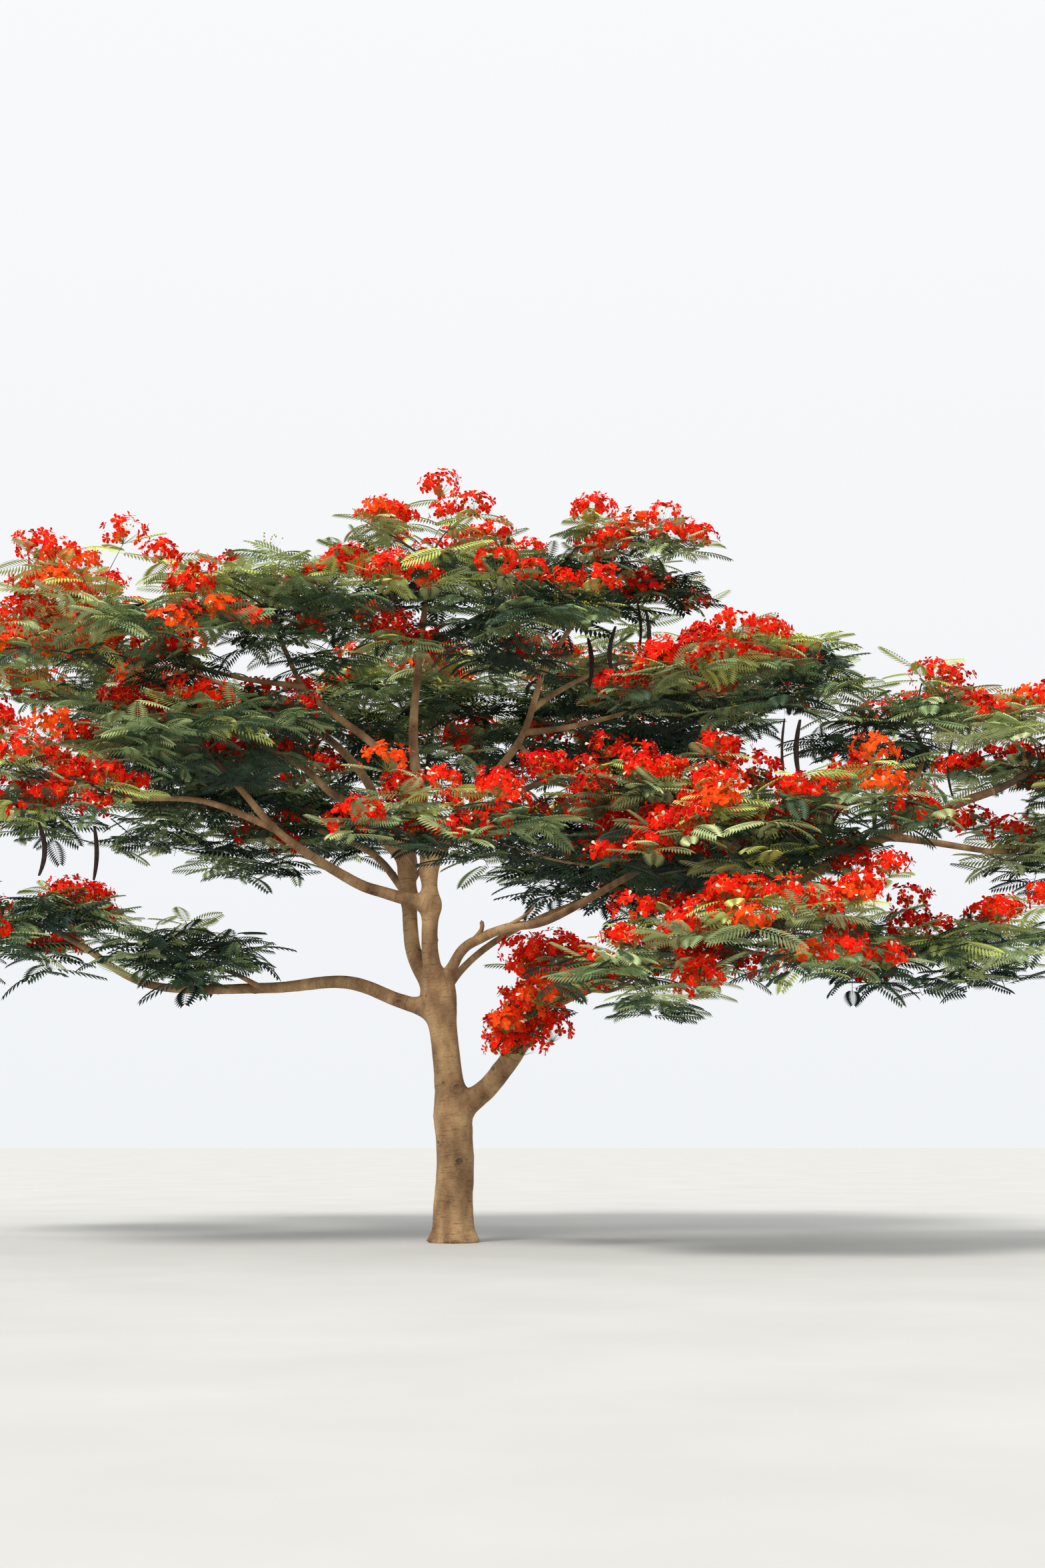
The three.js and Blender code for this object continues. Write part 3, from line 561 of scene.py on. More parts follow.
def wood_skin(limbs, scars):
    """The trunk and thick boughs as one skin with soft forks, and each corner's place and scar."""
    thick = [limb for limb in limbs.values() if limb.thick]
    corners, quads = remeshed(*joined([limb_tube(limb, THICK_TUBE) for limb in thick]))
    floor = corners[:, 2] < VOXEL * 0.6
    for _ in range(BLEND_ROUNDS):
        nearest = np.full(len(corners), np.inf)
        place = np.zeros((len(corners), 3))
        weight = np.zeros(len(corners))
        for limb in thick:
            samples = limb.path.samples
            inside = (corners > samples.min(axis=0) - NEARBY) & (corners < samples.max(axis=0) + NEARBY)
            near = np.flatnonzero(inside.all(axis=1))
            out, at = on_limb(corners[near], limb)
            weight[near] += np.exp(-np.clip(out, -0.3, 1) / BLEND)
            closer = out < nearest[near]
            nearest[near[closer]] = out[closer]
            place[near[closer]] = at[closer]
        out = -BLEND * np.log(np.maximum(weight, 1e-12))
        out[floor] = 0
        corners = corners - corner_normals(corners, quads) * np.clip(out, -MOST_SHIFT, MOST_SHIFT)[:, None]

    radius = np.hypot(place[:, 0], place[:, 1])
    rise = sum(value_noise(place / cell, seed) * share * radius for cell, seed, share in LUMPS)
    rings = value_noise(place / BARK_RINGS.cell, BARK_RINGS.seed) * BARK_RINGS.height
    rise = rise + rings * np.sqrt(radius / BARK_RINGS.radius)
    scarred = np.zeros(len(corners))
    for middle, _, size in scars:
        away = np.linalg.norm(corners - middle, axis=1) / size
        near = away < SCAR_BARK.reach
        away = away[near]
        swell = bell(away, *SCAR_BARK.lip) - 2 * bell(away, *SCAR_BARK.pit)
        rise[near] += SCAR_BARK.height * size * swell
        scarred[near] = np.maximum(scarred[near], SCAR_BARK.dark * bell(away, *SCAR_BARK.rim))
    rise[floor] = 0
    corners = corners + corner_normals(corners, quads) * rise[:, None]
    corners[floor, 2] = 0
    corners[:, 2] = np.maximum(corners[:, 2], 0)
    return corners, quads, place, scarred


def corner_normals(corners, quads):
    a, b, c, d = (corners[quads[:, k]] for k in range(4))
    flat = np.cross(c - a, d - b)
    total = np.zeros_like(corners)
    for k in range(4):
        np.add.at(total, quads[:, k], flat)
    return unit(total)


# Foliage
def share_of_reach(points):
    return np.linalg.norm((points[:, None] - CENTRES) / REACHES, axis=2)


def in_own_space(index, points, most=1.0):
    """Inside a mass's reach, and nearer to its own middle than to any other."""
    shares = share_of_reach(points)
    own = shares[:, index].copy()
    shares[:, index] = np.inf
    return (own <= most) & (shares.min(axis=1) > own + SPACE_MARGIN)


def drapes(mass):
    """Whether a mass hangs: taller than it is wide."""
    return mass[1][2] > mass[1][0]


def grow_twigs(index, limb, mass):
    """Stem and twigs of a mass, by the source's rule."""
    middle, reach, count = np.array(mass[0]), np.array(mass[1]), mass[2]
    start = 2 * math.pi * first_draw(FIRST_SEED + index)
    ahead = limb.path.ahead(1)
    foot = limb.path.at(1)
    top = middle + UP * STEM.top * reach[2]
    bend = foot + ahead * np.linalg.norm(foot - top) / 2
    stem = bezier(foot - ahead * STEM.overlap, bend, top)
    twigs = [stem]
    for i in range(1, count):
        turn = start + i * GOLDEN_ANGLE
        spread = TWIG_FAN.spread * math.sqrt((i + TWIG_FAN.first) / count)
        stagger = TWIG_FAN.stagger * ((i * GOLDEN_SHARE) % 1 - 0.5)
        rise = TWIG_FAN.height - TWIG_FAN.fall * spread**2 + stagger
        offset = np.array([math.cos(turn) * spread, math.sin(turn) * spread, rise]) * reach
        root = stem.at(TWIG.roots[0] + (TWIG.roots[1] - TWIG.roots[0]) * i / count)
        for scale in TRY_SCALES:
            end = middle + offset * scale
            if in_own_space(index, end[None])[0]:
                arch = (root + end) / 2 + UP * TWIG.arch * np.linalg.norm(end - root)
                twigs.append(bezier(root, arch, end))
                break
    return twigs


def grow_tips(index, mass, twigs, rng):
    """Fine shoots to tips that fill the mass's space by the golden fan, and the twig that each is on."""
    middle, reach = np.array(mass[0]), np.array(mass[1])
    drape = drapes(mass)
    area = DRAPE.area if drape else BACK_TIP_AREA if middle[1] > BACK else TIP_AREA
    seen = math.pi * reach[0] * (reach[1] + TIP_FAN.depth * reach[2])
    count = round(seen * TIP_FAN.spread ** 2 / area)
    i = np.arange(count)
    turn = TIP_FAN.turn * index + i * GOLDEN_ANGLE
    spread = TIP_FAN.spread * np.sqrt((i + 0.5) / count)
    layers = DRAPE if drape else TIP_FAN
    stagger = layers.stagger * ((i * LAYER_SHARE) % 1 - 0.5)
    rise = (layers.height + stagger) * np.sqrt(1 - spread**2)
    ends = middle + np.stack([np.cos(turn) * spread, np.sin(turn) * spread, rise], axis=1) * reach
    ends += rng.normal(0, TIP_JITTER.most, ends.shape) * TIP_JITTER.shares
    lean = DRAPE.lean * (ends[:, 2] - middle[2]) - DRAPE.pinch * (ends[:, 0] - middle[0])
    ends[:, 0] += drape * lean
    lifted = (rng.random(count) < LIFTED.share) & (rise > 0)
    ends[:, 2] += lifted * rng.uniform(*LIFTED.rise, count)
    inside = in_own_space(index, ends, np.where(lifted | drape, LIFTED.most, TIP_SPACE.most))
    ends = ends[inside & (ends[:, 2] < CAD_BOX[1][2] - TIP_SPACE.top_gap)]

    share = np.linspace(*SHOOT.span, SHOOT.spots)
    spots = np.concatenate([twig.at(share) for twig in twigs])
    aheads = np.concatenate([twig.ahead(share) for twig in twigs])
    owner = np.repeat(np.arange(len(twigs)), SHOOT.spots)
    gap = ends[:, None] - spots
    far = np.linalg.norm(gap, axis=2)
    straight = SHOOT_COST.straight * (gap * aheads).sum(axis=2) / np.maximum(far, 1e-6)
    cost = far * (SHOOT_COST.base - straight) + SHOOT_COST.crowded * (far < SHOOT_COST.near)
    best = np.argmin(cost, axis=1)
    roots, ahead = spots[best], aheads[best]
    far = np.linalg.norm(ends - roots, axis=1)[:, None]
    bends = roots + ahead * far * SHOOT.bend + UP * SHOOT.lift * far
    t = np.linspace(0, 1, SHOOT.rings)[:, None, None]
    lines = (1 - t) ** 2 * roots + 2 * t * (1 - t) * bends + t**2 * ends
    return np.swapaxes(lines, 0, 1), owner[best]


def leaf_shape(pairs, width):
    """One feathery leaf along +X, a metre long: a thin midrib and pairs of narrow pinnae."""
    corners, faces = [], []
    sizes = PINNA.length * np.sin(np.pi * np.linspace(*PINNA.swell, pairs)) ** PINNA.power
    leans = np.radians(np.linspace(*PINNA.lean, pairs))
    for x, length, lean in zip(np.linspace(*PINNA.at, pairs), sizes, leans):
        for hand in (-1, 1):
            along = np.array([math.cos(lean), hand * math.sin(lean), PINNA.fall])
            across = np.array([math.sin(lean), -hand * math.cos(lean), 0]) * width / 2
            root = np.array([x, 0, 0])
            middle = root + along * length * 0.5 + UP * PINNA.arch
            start = len(corners)
            corners += [root, middle + across, root + along * length - UP * PINNA.sag, middle - across]
            faces += [(start, start + 1, start + 2), (start, start + 2, start + 3)]
    for k, x in enumerate(np.linspace(0, 1, MIDRIB.rings)):
        half = MIDRIB.half * (1 - MIDRIB.taper * x)
        corners += [np.array([x, -half, MIDRIB.lift]), np.array([x, half, MIDRIB.lift])]
        if k:
            now = len(corners) - 2
            faces += [(now - 2, now, now + 1), (now - 2, now + 1, now - 1)]
    return np.array(corners), np.array(faces)


LIT_LEAF = leaf_shape(*LIT_PINNAE)
SHADE_LEAF = leaf_shape(*SHADE_PINNAE)


def turned(a, b, angles):
    cos, sin = np.cos(angles)[:, None], np.sin(angles)[:, None]
    return a * cos - b * sin, a * sin + b * cos


def placed(shape, roots, lengths, headings, pitches, rolls, droops):
    """Copies of a shape that points along +X: bent down on its way, scaled, turned and set at roots."""
    corners = np.broadcast_to(shape[0], (len(roots), *shape[0].shape)).copy()
    x = corners[..., 0]
    bend = droops[:, None] * x
    corners[..., 2] -= 0.5 * bend * x
    corners[..., 0] = x * (1 - bend**2 / 6)
    corners *= lengths[:, None, None]
    x, y, z = np.moveaxis(corners, -1, 0)
    y, z = turned(y, z, rolls)
    x, z = turned(x, z, pitches)
    x, y = turned(x, y, headings)
    return spread_out(np.stack([x, y, z], axis=-1) + roots[:, None], shape[1])


def petal(turn, tilt, rise, width, length):
    """A spoon-shaped petal of three faces, out from +Z, that bends back at its end."""
    out, across = level_pair(turn)
    corners = []
    for reach, half in PETAL_OUTLINE:
        fall = PETAL_BEND.by * max(0, reach - PETAL_BEND.start) ** 2
        height = rise + reach * math.sin(tilt) - fall
        corners.append(length * (out * reach * math.cos(tilt) + across * half * width) + UP * height)
    return np.array(corners), np.array([(0, 1, 4), (1, 2, 3), (1, 3, 4)])


def ruffled(rng):
    """Four petals, no two held alike."""
    return joined([
        petal(turn + rng.normal(0, PETAL.stray), rng.uniform(*PETAL.tilt), 0,
              rng.uniform(*PETAL.width), rng.uniform(*PETAL.length))
        for turn in np.radians(PETAL.turns)])


def sepal_star():
    """Narrow pointed sepals round +Z, each of one face."""
    corners = []
    for turn in np.radians(SEPAL.turns):
        out, across = level_pair(turn)
        foot = out * SEPAL.back
        across = across * SEPAL.width
        tip = SEPAL.length * (out * math.cos(SEPAL.tilt) + UP * math.sin(SEPAL.tilt))
        corners += [across - foot, -across - foot, tip]
    return np.array(corners), np.arange(len(corners)).reshape(-1, 3)


def facing(shape, places, axes, sizes, spins):
    """Copies of a shape that faces +Z, turned to face along axes."""
    side = unit(np.cross(axes, FLOWER_SIDE))
    rise = np.cross(axes, side)
    cos, sin = np.cos(spins)[:, None], np.sin(spins)[:, None]
    across, along = side * cos + rise * sin, rise * cos - side * sin
    x, y, z = shape[0][None, :, :1], shape[0][None, :, 1:2], shape[0][None, :, 2:]
    corners = x * across[:, None] + y * along[:, None] + z * axes[:, None]
    return spread_out(places[:, None] + corners * sizes[:, None, None], shape[1])


PETALS = [ruffled(np.random.default_rng(form)) for form in range(PETAL.forms)]
STANDARD = petal(math.radians(308), tilt=0.8, rise=0.02, width=0.3, length=0.85)
SEPALS = sepal_star()
BUD = (np.array([[0, 0, 1.5], [1, 0, 0], [-0.5, 0.87, 0], [-0.5, -0.87, 0], [0, 0, -1]], float),
       np.array([(0, 1, 2), (0, 2, 3), (0, 3, 1), (4, 2, 1), (4, 3, 2), (4, 1, 3)]))


def stalks_from(start, ends, thick):
    """Thin three-sided stalks from one start, that narrow to a point."""
    ahead = unit(ends - start)
    side = unit(np.cross(ahead, STALK_SIDE))
    rise = np.cross(side, ahead)
    cos, sin = circle(3)
    ring = (side[:, None] * cos + rise[:, None] * sin) * thick
    corners = np.concatenate([start + ring, ends[:, None]], axis=1)
    return spread_out(corners, np.array([(0, 1, 3), (1, 2, 3), (2, 0, 3)]))


def pod_shape(rng, root, heading):
    """A long flat pod that hangs and bows, with faint ridges over its seeds."""
    length = rng.uniform(*POD.length)
    out, side = level_pair(heading)
    rings, sides = POD.rings, POD.sides
    t = np.linspace(0, 1, rings)
    bow = rng.uniform(*POD.bow)
    line = root - UP * length * t[:, None] + out * bow * length * np.sin(np.pi * t * 0.9)[:, None]
    swell = np.clip(np.sin(np.pi * (0.06 + 0.9 * t)) ** 0.4, 0.1, 1)
    ridge = 1 + POD.ridge * np.cos(2 * np.pi * t * length / POD.seed)
    cos, sin = circle(sides)
    spin = rng.uniform(0, np.pi)
    wide = (math.cos(spin) * out + math.sin(spin) * side) * (cos * POD.width / 2)
    thin = (math.cos(spin) * side - math.sin(spin) * out) * (sin * POD.thickness / 2)
    ring = wide[None] * swell[:, None, None] + thin[None] * (swell * ridge)[:, None, None]
    corners = (line[:, None] + ring).reshape(-1, 3)
    last = (rings - 1) * sides
    caps = [(0, k + 1, k) for k in range(1, sides - 1)]
    caps += [(last, last + k, last + k + 1) for k in range(1, sides - 1)]
    faces = np.concatenate([ring_walls(rings, sides)[:, ::-1], np.array(caps)])
    return joined([(corners, faces), stalks_from(root + UP * POD.drop, root[None], STALK.pod)])


# Materials
def linear(*colour):
    """A display colour, 0 to 255 a channel, as Blender's own linear colour."""
    shares = [channel / 255 for channel in colour]
    return tuple(s / 12.92 if s <= 0.04045 else ((s + 0.055) / 1.055) ** 2.4 for s in shares)


class Nodes:
    """A node tree, and a few ways to add to it."""

    def __init__(self, tree):
        self.nodes, self.links = tree.nodes, tree.links

    def add(self, kind, output, inputs, **settings):
        """A node with these settings, each input set or linked, and the output that is asked for."""
        node = self.nodes.new("ShaderNode" + kind)
        for name, value in settings.items():
            setattr(node, name, value)
        for name, value in inputs.items():
            socket = node.inputs[name]
            if isinstance(value, bpy.types.NodeSocket):
                self.links.new(value, socket)
            else:
                socket.default_value = (*value, 1) if socket.type == "RGBA" else value
        return node.outputs[output]

    def ramp(self, value, *stops):
        """Colour by a value from 0 to 1, through stops of place and colour."""
        node = self.nodes.new("ShaderNodeValToRGB")
        elements = node.color_ramp.elements
        while len(elements) < len(stops):
            elements.new(0.5)
        for element, (place, colour) in zip(elements, stops):
            element.position = place
            element.color = (*colour, 1)
        self.links.new(value, node.inputs["Fac"])
        return node.outputs["Color"]

    def noise(self, where, scale, detail=3):
        return self.add("TexNoise", "Fac", {"Scale": scale, "Detail": detail, "Vector": where})

    def stretched(self, where, *scale):
        return self.add("Mapping", "Vector", {"Scale": scale, "Vector": where})

    def mix(self, kind, factor, a, b):
        inputs = {"Factor": factor, "A": a, "B": b}
        return self.add("Mix", "Result", inputs, data_type="RGBA", blend_type=kind)


class Look(Nodes):
    """A Principled material, painted with nodes."""

    def __init__(self, name, roughness):
        self.material = bpy.data.materials.new(name)
        self.material.use_nodes = True
        super().__init__(self.material.node_tree)
        self.shader = self.nodes["Principled BSDF"]
        self.shader.inputs["Roughness"].default_value = roughness
        self.where = self.add("TexCoord", "Object", {})

    def paint(self, colour, normal=None):
        self.links.new(colour, self.shader.inputs["Base Color"])
        if normal:
            self.links.new(normal, self.shader.inputs["Normal"])
        return self.material


WHITE = (1, 1, 1)
BLACK = (0, 0, 0)


def bark_look():
    """Tan bark: weathered patches, cracks across the limb, fine grain, pale specks and dark scars."""
    look = Look("bark", 0.88)
    limb = look.add("Attribute", "Vector", {}, attribute_name="limb")
    scar = look.add("Attribute", "Fac", {}, attribute_name="scar")
    cracks = look.noise(look.stretched(limb, 7, 7, 62), 1, 4)
    grain = look.noise(look.stretched(limb, 34, 34, 120), 1)
    patches = look.noise(look.stretched(look.where, 5, 5, 2.6), 1, 4)
    tans = [(0.32, linear(124, 92, 62)), (0.5, linear(170, 134, 94)), (0.68, linear(208, 172, 124))]
    weather = look.ramp(look.noise(look.where, 1.7), (0.35, linear(200, 196, 188)), (0.62, WHITE))
    colour = look.mix("MULTIPLY", 0.7, look.ramp(patches, *tans), weather)
    crack_tones = [(0.29, linear(96, 84, 74)), (0.38, linear(226, 220, 214)), (0.46, WHITE)]
    colour = look.mix("MULTIPLY", 0.55, colour, look.ramp(cracks, *crack_tones))
    mottle = look.ramp(grain, (0.35, linear(204, 198, 190)), (0.6, WHITE))
    colour = look.mix("MULTIPLY", 0.5, colour, mottle)
    specks = look.add("TexVoronoi", "Distance", {"Scale": 1, "Vector": look.stretched(limb, 30, 30, 54)})
    dots = look.ramp(specks, (0.1, (0.45, 0.45, 0.45)), (0.2, BLACK))
    colour = look.mix("MIX", dots, colour, linear(212, 184, 144))
    hollow = look.ramp(scar, (0, BLACK), (1, (0.75, 0.75, 0.75)))
    colour = look.mix("MIX", hollow, colour, linear(74, 58, 46))
    normal = look.add("Bump", "Normal", {"Strength": 0.45, "Distance": 0.005, "Height": cracks})
    fine = {"Strength": 0.35, "Distance": 0.002, "Height": grain, "Normal": normal}
    return look.paint(colour, look.add("Bump", "Normal", fine))


def soft_look(name, dark, light, roughness=0.6, scale=7, gloss=0.28):
    """A plain tint that varies a little from place to place."""
    look = Look(name, roughness)
    look.shader.inputs["Specular IOR Level"].default_value = gloss
    tones = (0.35, linear(*dark)), (0.65, linear(*light))
    return look.paint(look.ramp(look.noise(look.where, scale), *tones))


# Leaf tints from painted shade to painted light: shade and deep for leaves deep inside, low and at the back
# of the crown, mid between, light for the lit outer leaves, and the yellow-green last one partly the colour
# of new leaves, partly painted light
LEAF_TINTS = {
    "shade": ((26, 48, 36), (40, 64, 48)),
    "deep": ((44, 68, 46), (66, 92, 62)),
    "mid": ((110, 134, 88), (142, 163, 108)),
    "light": ((164, 181, 124), (194, 206, 146)),
    "fresh": ((180, 194, 98), (208, 217, 128)),
}
# Petal tints: scarlet is the petals' own red, the dark crimson is that red in painted shade and the orange
# vermilion is it in painted light
PETAL_TINTS = {
    "scarlet": ((230, 12, 6), (250, 34, 10)),
    "vermilion": ((240, 46, 8), (253, 84, 16)),
    "crimson": ((176, 5, 8), (214, 14, 10)),
}


# Growth of the whole crown
def read_tips(index, mass, lines, owner, rng):
    """Each tip's place in its mass and in the crown, and whether it blooms or only buds."""
    middle, reach, twig_count, bloom, _ = mass
    ends = lines[:, -1]
    height = (ends[:, 2] - middle[2]) / reach[2]
    outer = share_of_reach(ends)[:, index]
    depth = np.linalg.norm((ends - CROWN_MIDDLE) / CROWN_REACH, axis=1)
    chance = BLOOM.owned * ((owner < bloom) & ((height > BLOOM.floor) | (bloom == twig_count)))
    chance = np.maximum(chance, bloom / twig_count * (height > BLOOM.top))
    behind = (ends[:, 1] > BACK) & (depth > BLOOM.rim) & (height > 0)
    chance = np.maximum(chance, BLOOM.behind * behind)
    always = drapes(mass) | (ends[:, 2] > BLOOM.crest)
    chance = np.maximum(chance * (1 - BLOOM.sunny * middle[0]), always)
    blooms = (outer > BLOOM.outer) & (rng.random(len(ends)) < chance)
    budding = ~blooms & (owner < bloom + 1) & (rng.random(len(ends)) < BLOOM.budding)
    return Values(ends=ends, ahead=unit(ends - lines[:, -2]), height=height, outer=outer, depth=depth,
                  blooms=blooms, budding=budding, drape=drapes(mass))


def grow_leaves(index, tips, leaves, rng):
    """A rosette at each tip, dealt a tint of painted light and shade by its height and depth in the crown.
    """
    ends, ahead, depth, outer = tips.ends, tips.ahead, tips.depth, tips.outer
    tip_count = len(ends)
    few = rng.integers(*BLOOM_LEAVES, tip_count)
    counts = np.where(tips.blooms, few, rng.integers(*SPRAY_LEAVES, tip_count))
    if tips.drape:
        counts = counts // DRAPE_FEWER
    spray = np.repeat(np.arange(tip_count), counts)
    total = len(spray)
    order = np.arange(total) - np.repeat(np.cumsum(counts) - counts, counts)
    headings = np.arctan2(ahead[:, 1], ahead[:, 0])[spray] + order * GOLDEN_ANGLE
    headings = headings + rng.normal(0, LEAF_STRAY, total)
    back = order * LEAF_BACK.each + rng.uniform(0, LEAF_BACK.stray, total)
    roots = ends[spray] - ahead[spray] * back[:, None]
    pitches = rng.uniform(*LEAF_PITCH, total) * (1 - order / counts[spray]) + LEAF_LIFT
    rolls = rng.normal(0, LEAF_ROLL, total)
    droops = rng.uniform(*LEAF_DROOP, total)
    lengths = rng.uniform(*LEAF_LENGTH, total)
    level = np.cos(pitches)
    out = np.stack([np.cos(headings) * level, np.sin(headings) * level, np.sin(pitches)], 1)
    points = roots + out * lengths[:, None] - UP * (0.5 * droops * lengths)[:, None]
    most = np.where(outer > 1, outer + LEAF_SLACK.outside, LEAF_SLACK.inside)[spray]
    in_box = ((points > CAD_BOX[0]) & (points < CAD_BOX[1])).all(axis=1)
    keep = (share_of_reach(points)[:, index] < most) & in_box
    # Painted light and shade: tips high, far out or in bloom get lighter tints, those deep inside, low down
    # and at the back darker ones
    score = LEAF_LIGHT.base + LEAF_LIGHT.depth * depth + LEAF_LIGHT.height * tips.height
    score = score + LEAF_LIGHT.bloom * tips.blooms - LEAF_LIGHT.back * ends[:, 1] / CROWN_REACH[1]
    score += rng.normal(0, LEAF_LIGHT.stray, tip_count)
    tints = np.digitize(score, TINT_LEVELS)
    inner = (depth < INNER_DEPTH) & (ends[:, 1] > 0) & (tints < SHADE_TINTS)
    for k, tint in enumerate(LEAF_TINTS):
        for within, shape, growth in ((inner, SHADE_LEAF, SHADE_GROWTH), (~inner, LIT_LEAF, 1)):
            some = keep & (within & (tints == k))[spray]
            if some.any():
                leaves[tint].append(placed(shape, roots[some], lengths[some] * growth, headings[some],
                                           pitches[some], rolls[some], droops[some]))


def open_heads(tips, crown, rng):
    """A domed head of open flowers on stalks at each blooming tip."""
    for tip in np.flatnonzero(tips.blooms):
        end = tips.ends[tip]
        count = rng.integers(*HEAD.flowers)
        radius = rng.uniform(*HEAD.radius)
        k = np.arange(count)
        lean = np.arccos(1 - HEAD.cover * (k + 0.5) / count)
        axes = from_pole(lean, k * GOLDEN_ANGLE + rng.uniform(*ANY_TURN))
        axes = unit(axes + rng.normal(0, HEAD.stray, axes.shape))
        shell = rng.uniform(*HEAD.shell, count)[:, None]
        places = end + UP * radius * HEAD.lift + axes * radius * shell * HEAD.squash
        flowers = [places, axes, rng.uniform(*FLOWER_RADIUS, count), rng.uniform(*ANY_TURN, count)]
        # Painted light and shade: heads deep in the crown take the dark tint, outer and hanging heads the
        # orange, lit tint
        light = max(tips.depth[tip], DRAPE.light * tips.drape) + rng.normal(0, FLOWER_LIGHT.stray)
        dark, bright = light < FLOWER_LIGHT.crimson, light > FLOWER_LIGHT.vermilion
        petals = crown["petals"]["crimson" if dark else "vermilion" if bright else "scarlet"]

        def some_of(shape, chosen):
            return facing(shape, *(each[chosen] for each in flowers))

        petals += [some_of(shape, k % len(PETALS) == form) for form, shape in enumerate(PETALS)]
        whites = rng.random(count) < WHITE_SHARE
        if whites.any():
            crown["petals_pale"].append(some_of(STANDARD, whites))
        petals.append(some_of(STANDARD, ~whites))
        crown["sepals"].append(facing(SEPALS, *flowers))
        crown["stalks"].append(stalks_from(end, places - axes * STALK.gap, STALK.flower))


def set_buds(tips, crown, rng):
    """Buds over each head, and more of them on the tips that only bud."""
    for tip in np.flatnonzero(tips.blooms | tips.budding):
        end = tips.ends[tip]
        count = rng.integers(*BUD_HEAD.count) + BUD_HEAD.more * tips.budding[tip]
        turn = rng.uniform(*ANY_TURN, count)
        axes = from_pole(rng.uniform(0, BUD_HEAD.lean, count), turn)
        places = end + axes * rng.uniform(*BUD_HEAD.reach, count)[:, None]
        crown["buds"].append(facing(BUD, places, axes, rng.uniform(*BUD_HEAD.size, count), turn))
        crown["stalks"].append(stalks_from(end, places, STALK.bud))


def grow_crown(limbs):
    """Every mass's wood, leaves and petals by tint, and the rest of its blossom and pods by piece."""
    parts = ("stems", "twigs", "shoots", "petals_pale", "sepals", "buds", "stalks", "pods")
    crown = {part: [] for part in parts}
    crown["leaves"] = {tint: [] for tint in LEAF_TINTS}
    crown["petals"] = {tint: [] for tint in PETAL_TINTS}
    for index, (name, mass) in enumerate(MASSES.items()):
        rng = np.random.default_rng(FIRST_SEED + index)
        twigs = grow_twigs(index, limbs[name], mass)
        lines, owner = grow_tips(index, mass, twigs, rng)
        stem = twigs[0].at(np.linspace(0, 1, STEM.rings))
        crown["stems"].append(tapered([stem], (limbs[name].radius(1), STEM.tip), STEM.sides))
        crown["twigs"] += [twig.at(np.linspace(0, 1, TWIG.rings)) for twig in twigs[1:]]
        crown["shoots"].append(lines)
        tips = read_tips(index, mass, lines, owner, rng)
        grow_leaves(index, tips, crown["leaves"], rng)
        open_heads(tips, crown, rng)
        set_buds(tips, crown, rng)

        # Pods hang from the lowest shoots, the nearest side first
        low_first = np.argsort(tips.ends[:, 2] + POD.near * tips.ends[:, 1])
        for tip in low_first[: POD.more * mass[4]]:
            crown["pods"].append(pod_shape(rng, tips.ends[tip] - UP * POD.drop, rng.uniform(*ANY_TURN)))
    return crown


def bark_piece(name, corners, faces, bark, nodes, place, scar):
    """Wood whose corners hold their place on the limb and how deep in a scar they lie, for the bark."""
    attributes = piece(name, corners, faces, bark, "bark", nodes, smooth=True).data.attributes
    limb = attributes.new("limb", "FLOAT_VECTOR", "POINT")
    limb.data.foreach_set("vector", place.astype(np.float32).ravel())
    attributes.new("scar", "FLOAT", "POINT").data.foreach_set("value", scar.astype(np.float32))


def dress_wood(limbs):
    """The skin of the thick wood, its scars, and the slender boughs with the bare wood."""
    bark = bark_look()
    scars = scars_on(limbs)
    corners, quads, place, scarred = wood_skin(limbs, scars)
    thick = ["trunk"] + ["bough_" + name for name in BOUGHS if limbs[name].thick]
    bark_piece("trunk_and_boughs", corners, quads, bark, thick, place, scarred)
    corners, faces, dark = scar_collars(scars)
    bark_piece("bark_scars", corners, faces, bark, thick, corners, dark)

    thin = [name for name in limbs if not limbs[name].thick]
    corners, faces = joined([limb_tube(limbs[name], THIN_TUBE) for name in thin])
    place = np.zeros_like(corners)
    for name in thin:
        out, at = on_limb(corners, limbs[name])
        mine = np.abs(out) < THIN_SKIN
        place[mine] = at[mine]
    nodes = ["bough_" + name for name in thin if name in BOUGHS]
    bark_piece("slender_boughs", corners, faces, bark, nodes, place, np.zeros(len(place)))


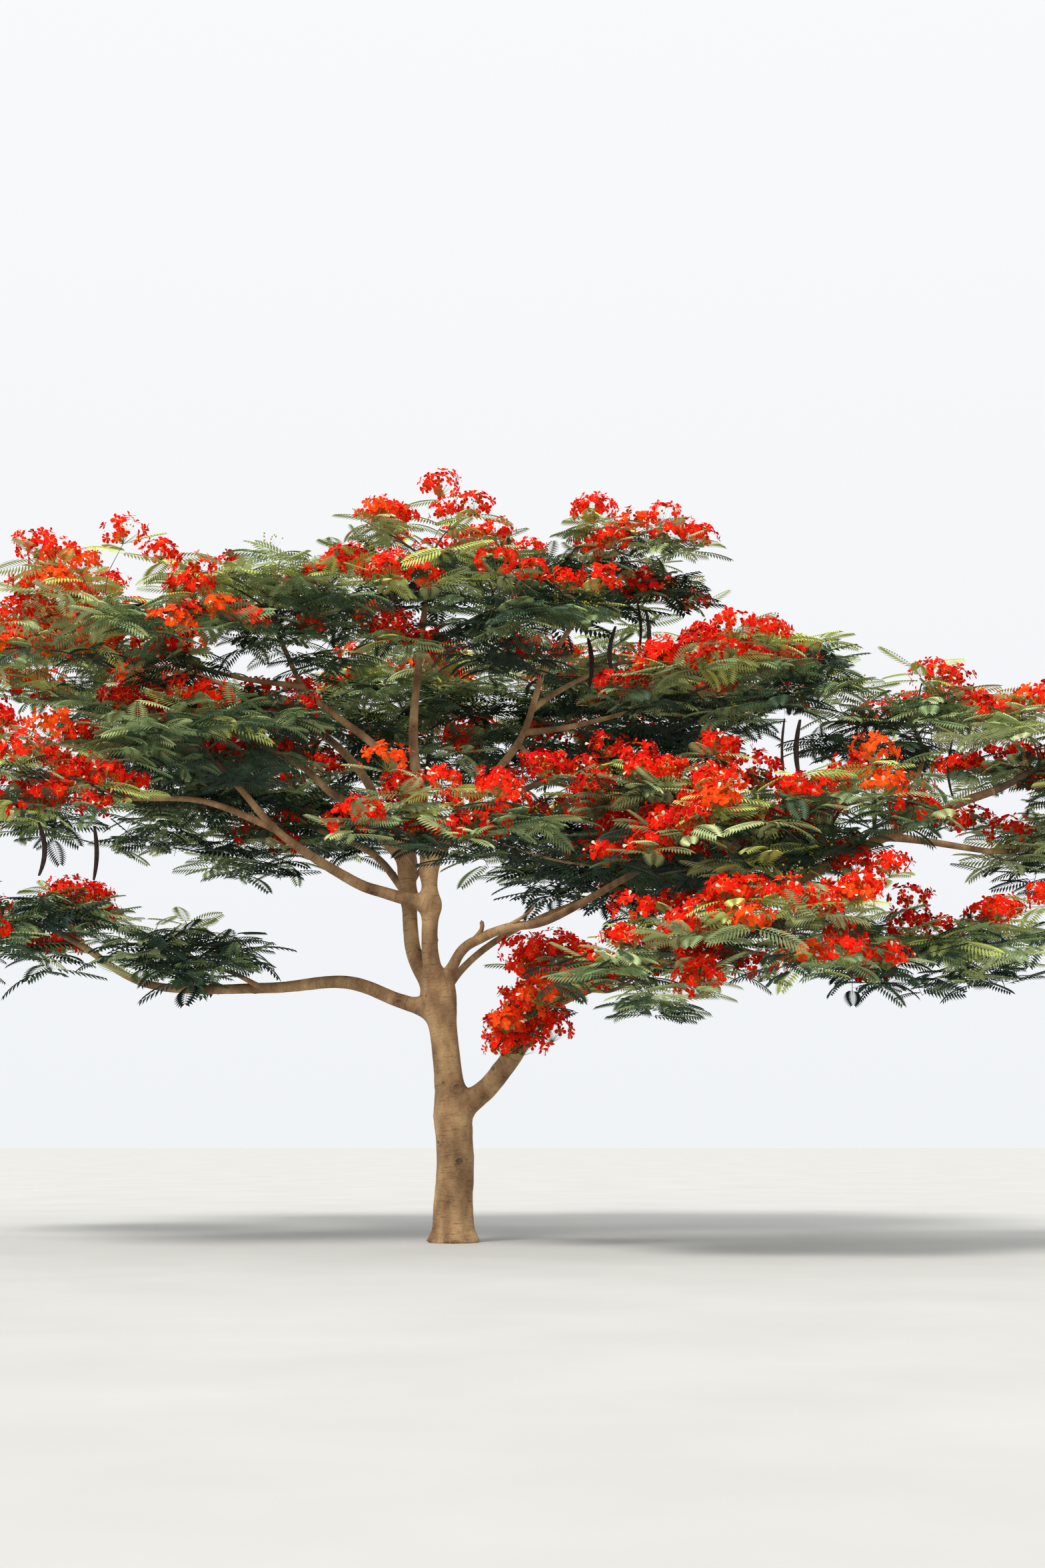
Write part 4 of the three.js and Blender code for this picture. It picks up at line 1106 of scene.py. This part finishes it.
def dress_crown(limbs):
    """The twigs and shoots, the leaves and petals by tint, and the rest of the blossom and pods."""
    crown = grow_crown(limbs)
    wood = joined([*crown["stems"], tapered(crown["twigs"], TWIG.radii, TWIG.sides),
                   tapered(np.concatenate(crown["shoots"]), SHOOT.radii, SHOOT.sides)])
    look = soft_look("twig_bark", (72, 58, 46), (120, 98, 76), roughness=0.8, scale=9, gloss=0.5)
    piece("twigs", *wood, look, "bark", MASS_NODES, smooth=True)
    for tint, colours in LEAF_TINTS.items():
        look = soft_look("leaf_" + tint, *colours)
        piece(f"leaves_{tint}_1", *joined(crown["leaves"][tint]), look, "foliage", MASS_NODES)
    for tint, colours in PETAL_TINTS.items():
        look = soft_look("petal_" + tint, *colours, roughness=0.75, scale=16, gloss=0.08)
        piece(f"petals_{tint}", *joined(crown["petals"][tint]), look, "blossom", MASS_NODES)
    for name, slot, smooth, look in [
        ("petals_pale", "blossom", False, soft_look("petal_pale", (238, 190, 170), (250, 228, 206))),
        ("sepals", "blossom", False, soft_look("sepal", (222, 88, 14), (240, 142, 34))),
        ("buds", "blossom", True, soft_look("bud", (138, 140, 40), (196, 170, 60))),
        ("stalks", "foliage", False, soft_look("stalk", (96, 112, 44), (132, 142, 66))),
        ("pods", "bark", True, soft_look("pod", (34, 22, 20), (58, 40, 34), scale=24)),
    ]:
        piece(name, *joined(crown[name]), look, slot, MASS_NODES, smooth)


# Studio: a pale floor, an even sky, one soft sun, and the camera in front of the tree
FLOOR = [(-90, -60, 0), (90, -60, 0), (90, 150, 0), (-90, 150, 0)]
FLOOR_TONES = [(0.3, (0.5, 0.5, 0.48)), (0.7, (0.54, 0.54, 0.52))]
SKY = [(0, (0.88, 0.9, 0.93)), (0.9, WHITE)]
SUN = Values(power=2.6, width=18, colour=(1.0, 0.97, 0.92), lean=38, turn=-32)
CAMERA = Values(place=(0.74, -23.7, 1.15), rise=9.11, lens=50, sensor=36)


def studio():
    """Floor, sky, sun and camera."""
    floor_mesh = bpy.data.meshes.new("floor")
    floor_mesh.from_pydata(FLOOR, [], [(0, 1, 2, 3)])
    look = Look("floor", 0.9)
    floor_mesh.materials.append(look.paint(look.ramp(look.noise(look.where, 0.6), *FLOOR_TONES)))
    linked("floor", floor_mesh)

    world = bpy.data.worlds.new("studio")
    bpy.context.scene.world = world
    world.use_nodes = True
    sky = Nodes(world.node_tree)
    height = sky.add("SeparateXYZ", "Z", {"Vector": sky.add("TexCoord", "Generated", {})})
    light = sky.nodes["Background"].inputs
    sky.links.new(sky.ramp(height, *SKY), light["Color"])
    light["Strength"].default_value = 1

    sun = bpy.data.lights.new("sun", "SUN")
    sun.energy = SUN.power
    sun.angle = math.radians(SUN.width)
    sun.color = SUN.colour
    linked("sun", sun).rotation_euler = (math.radians(SUN.lean), 0, math.radians(SUN.turn))

    lens = bpy.data.cameras.new("camera")
    lens.lens = CAMERA.lens
    lens.sensor_width = CAMERA.sensor
    camera = linked("camera", lens)
    camera.location = CAMERA.place
    camera.rotation_euler = (math.radians(90 + CAMERA.rise), 0, 0)
    bpy.context.scene.camera = camera
    bpy.context.scene.view_settings.view_transform = "Standard"


tree_limbs = make_limbs()
dress_wood(tree_limbs)
dress_crown(tree_limbs)
studio()
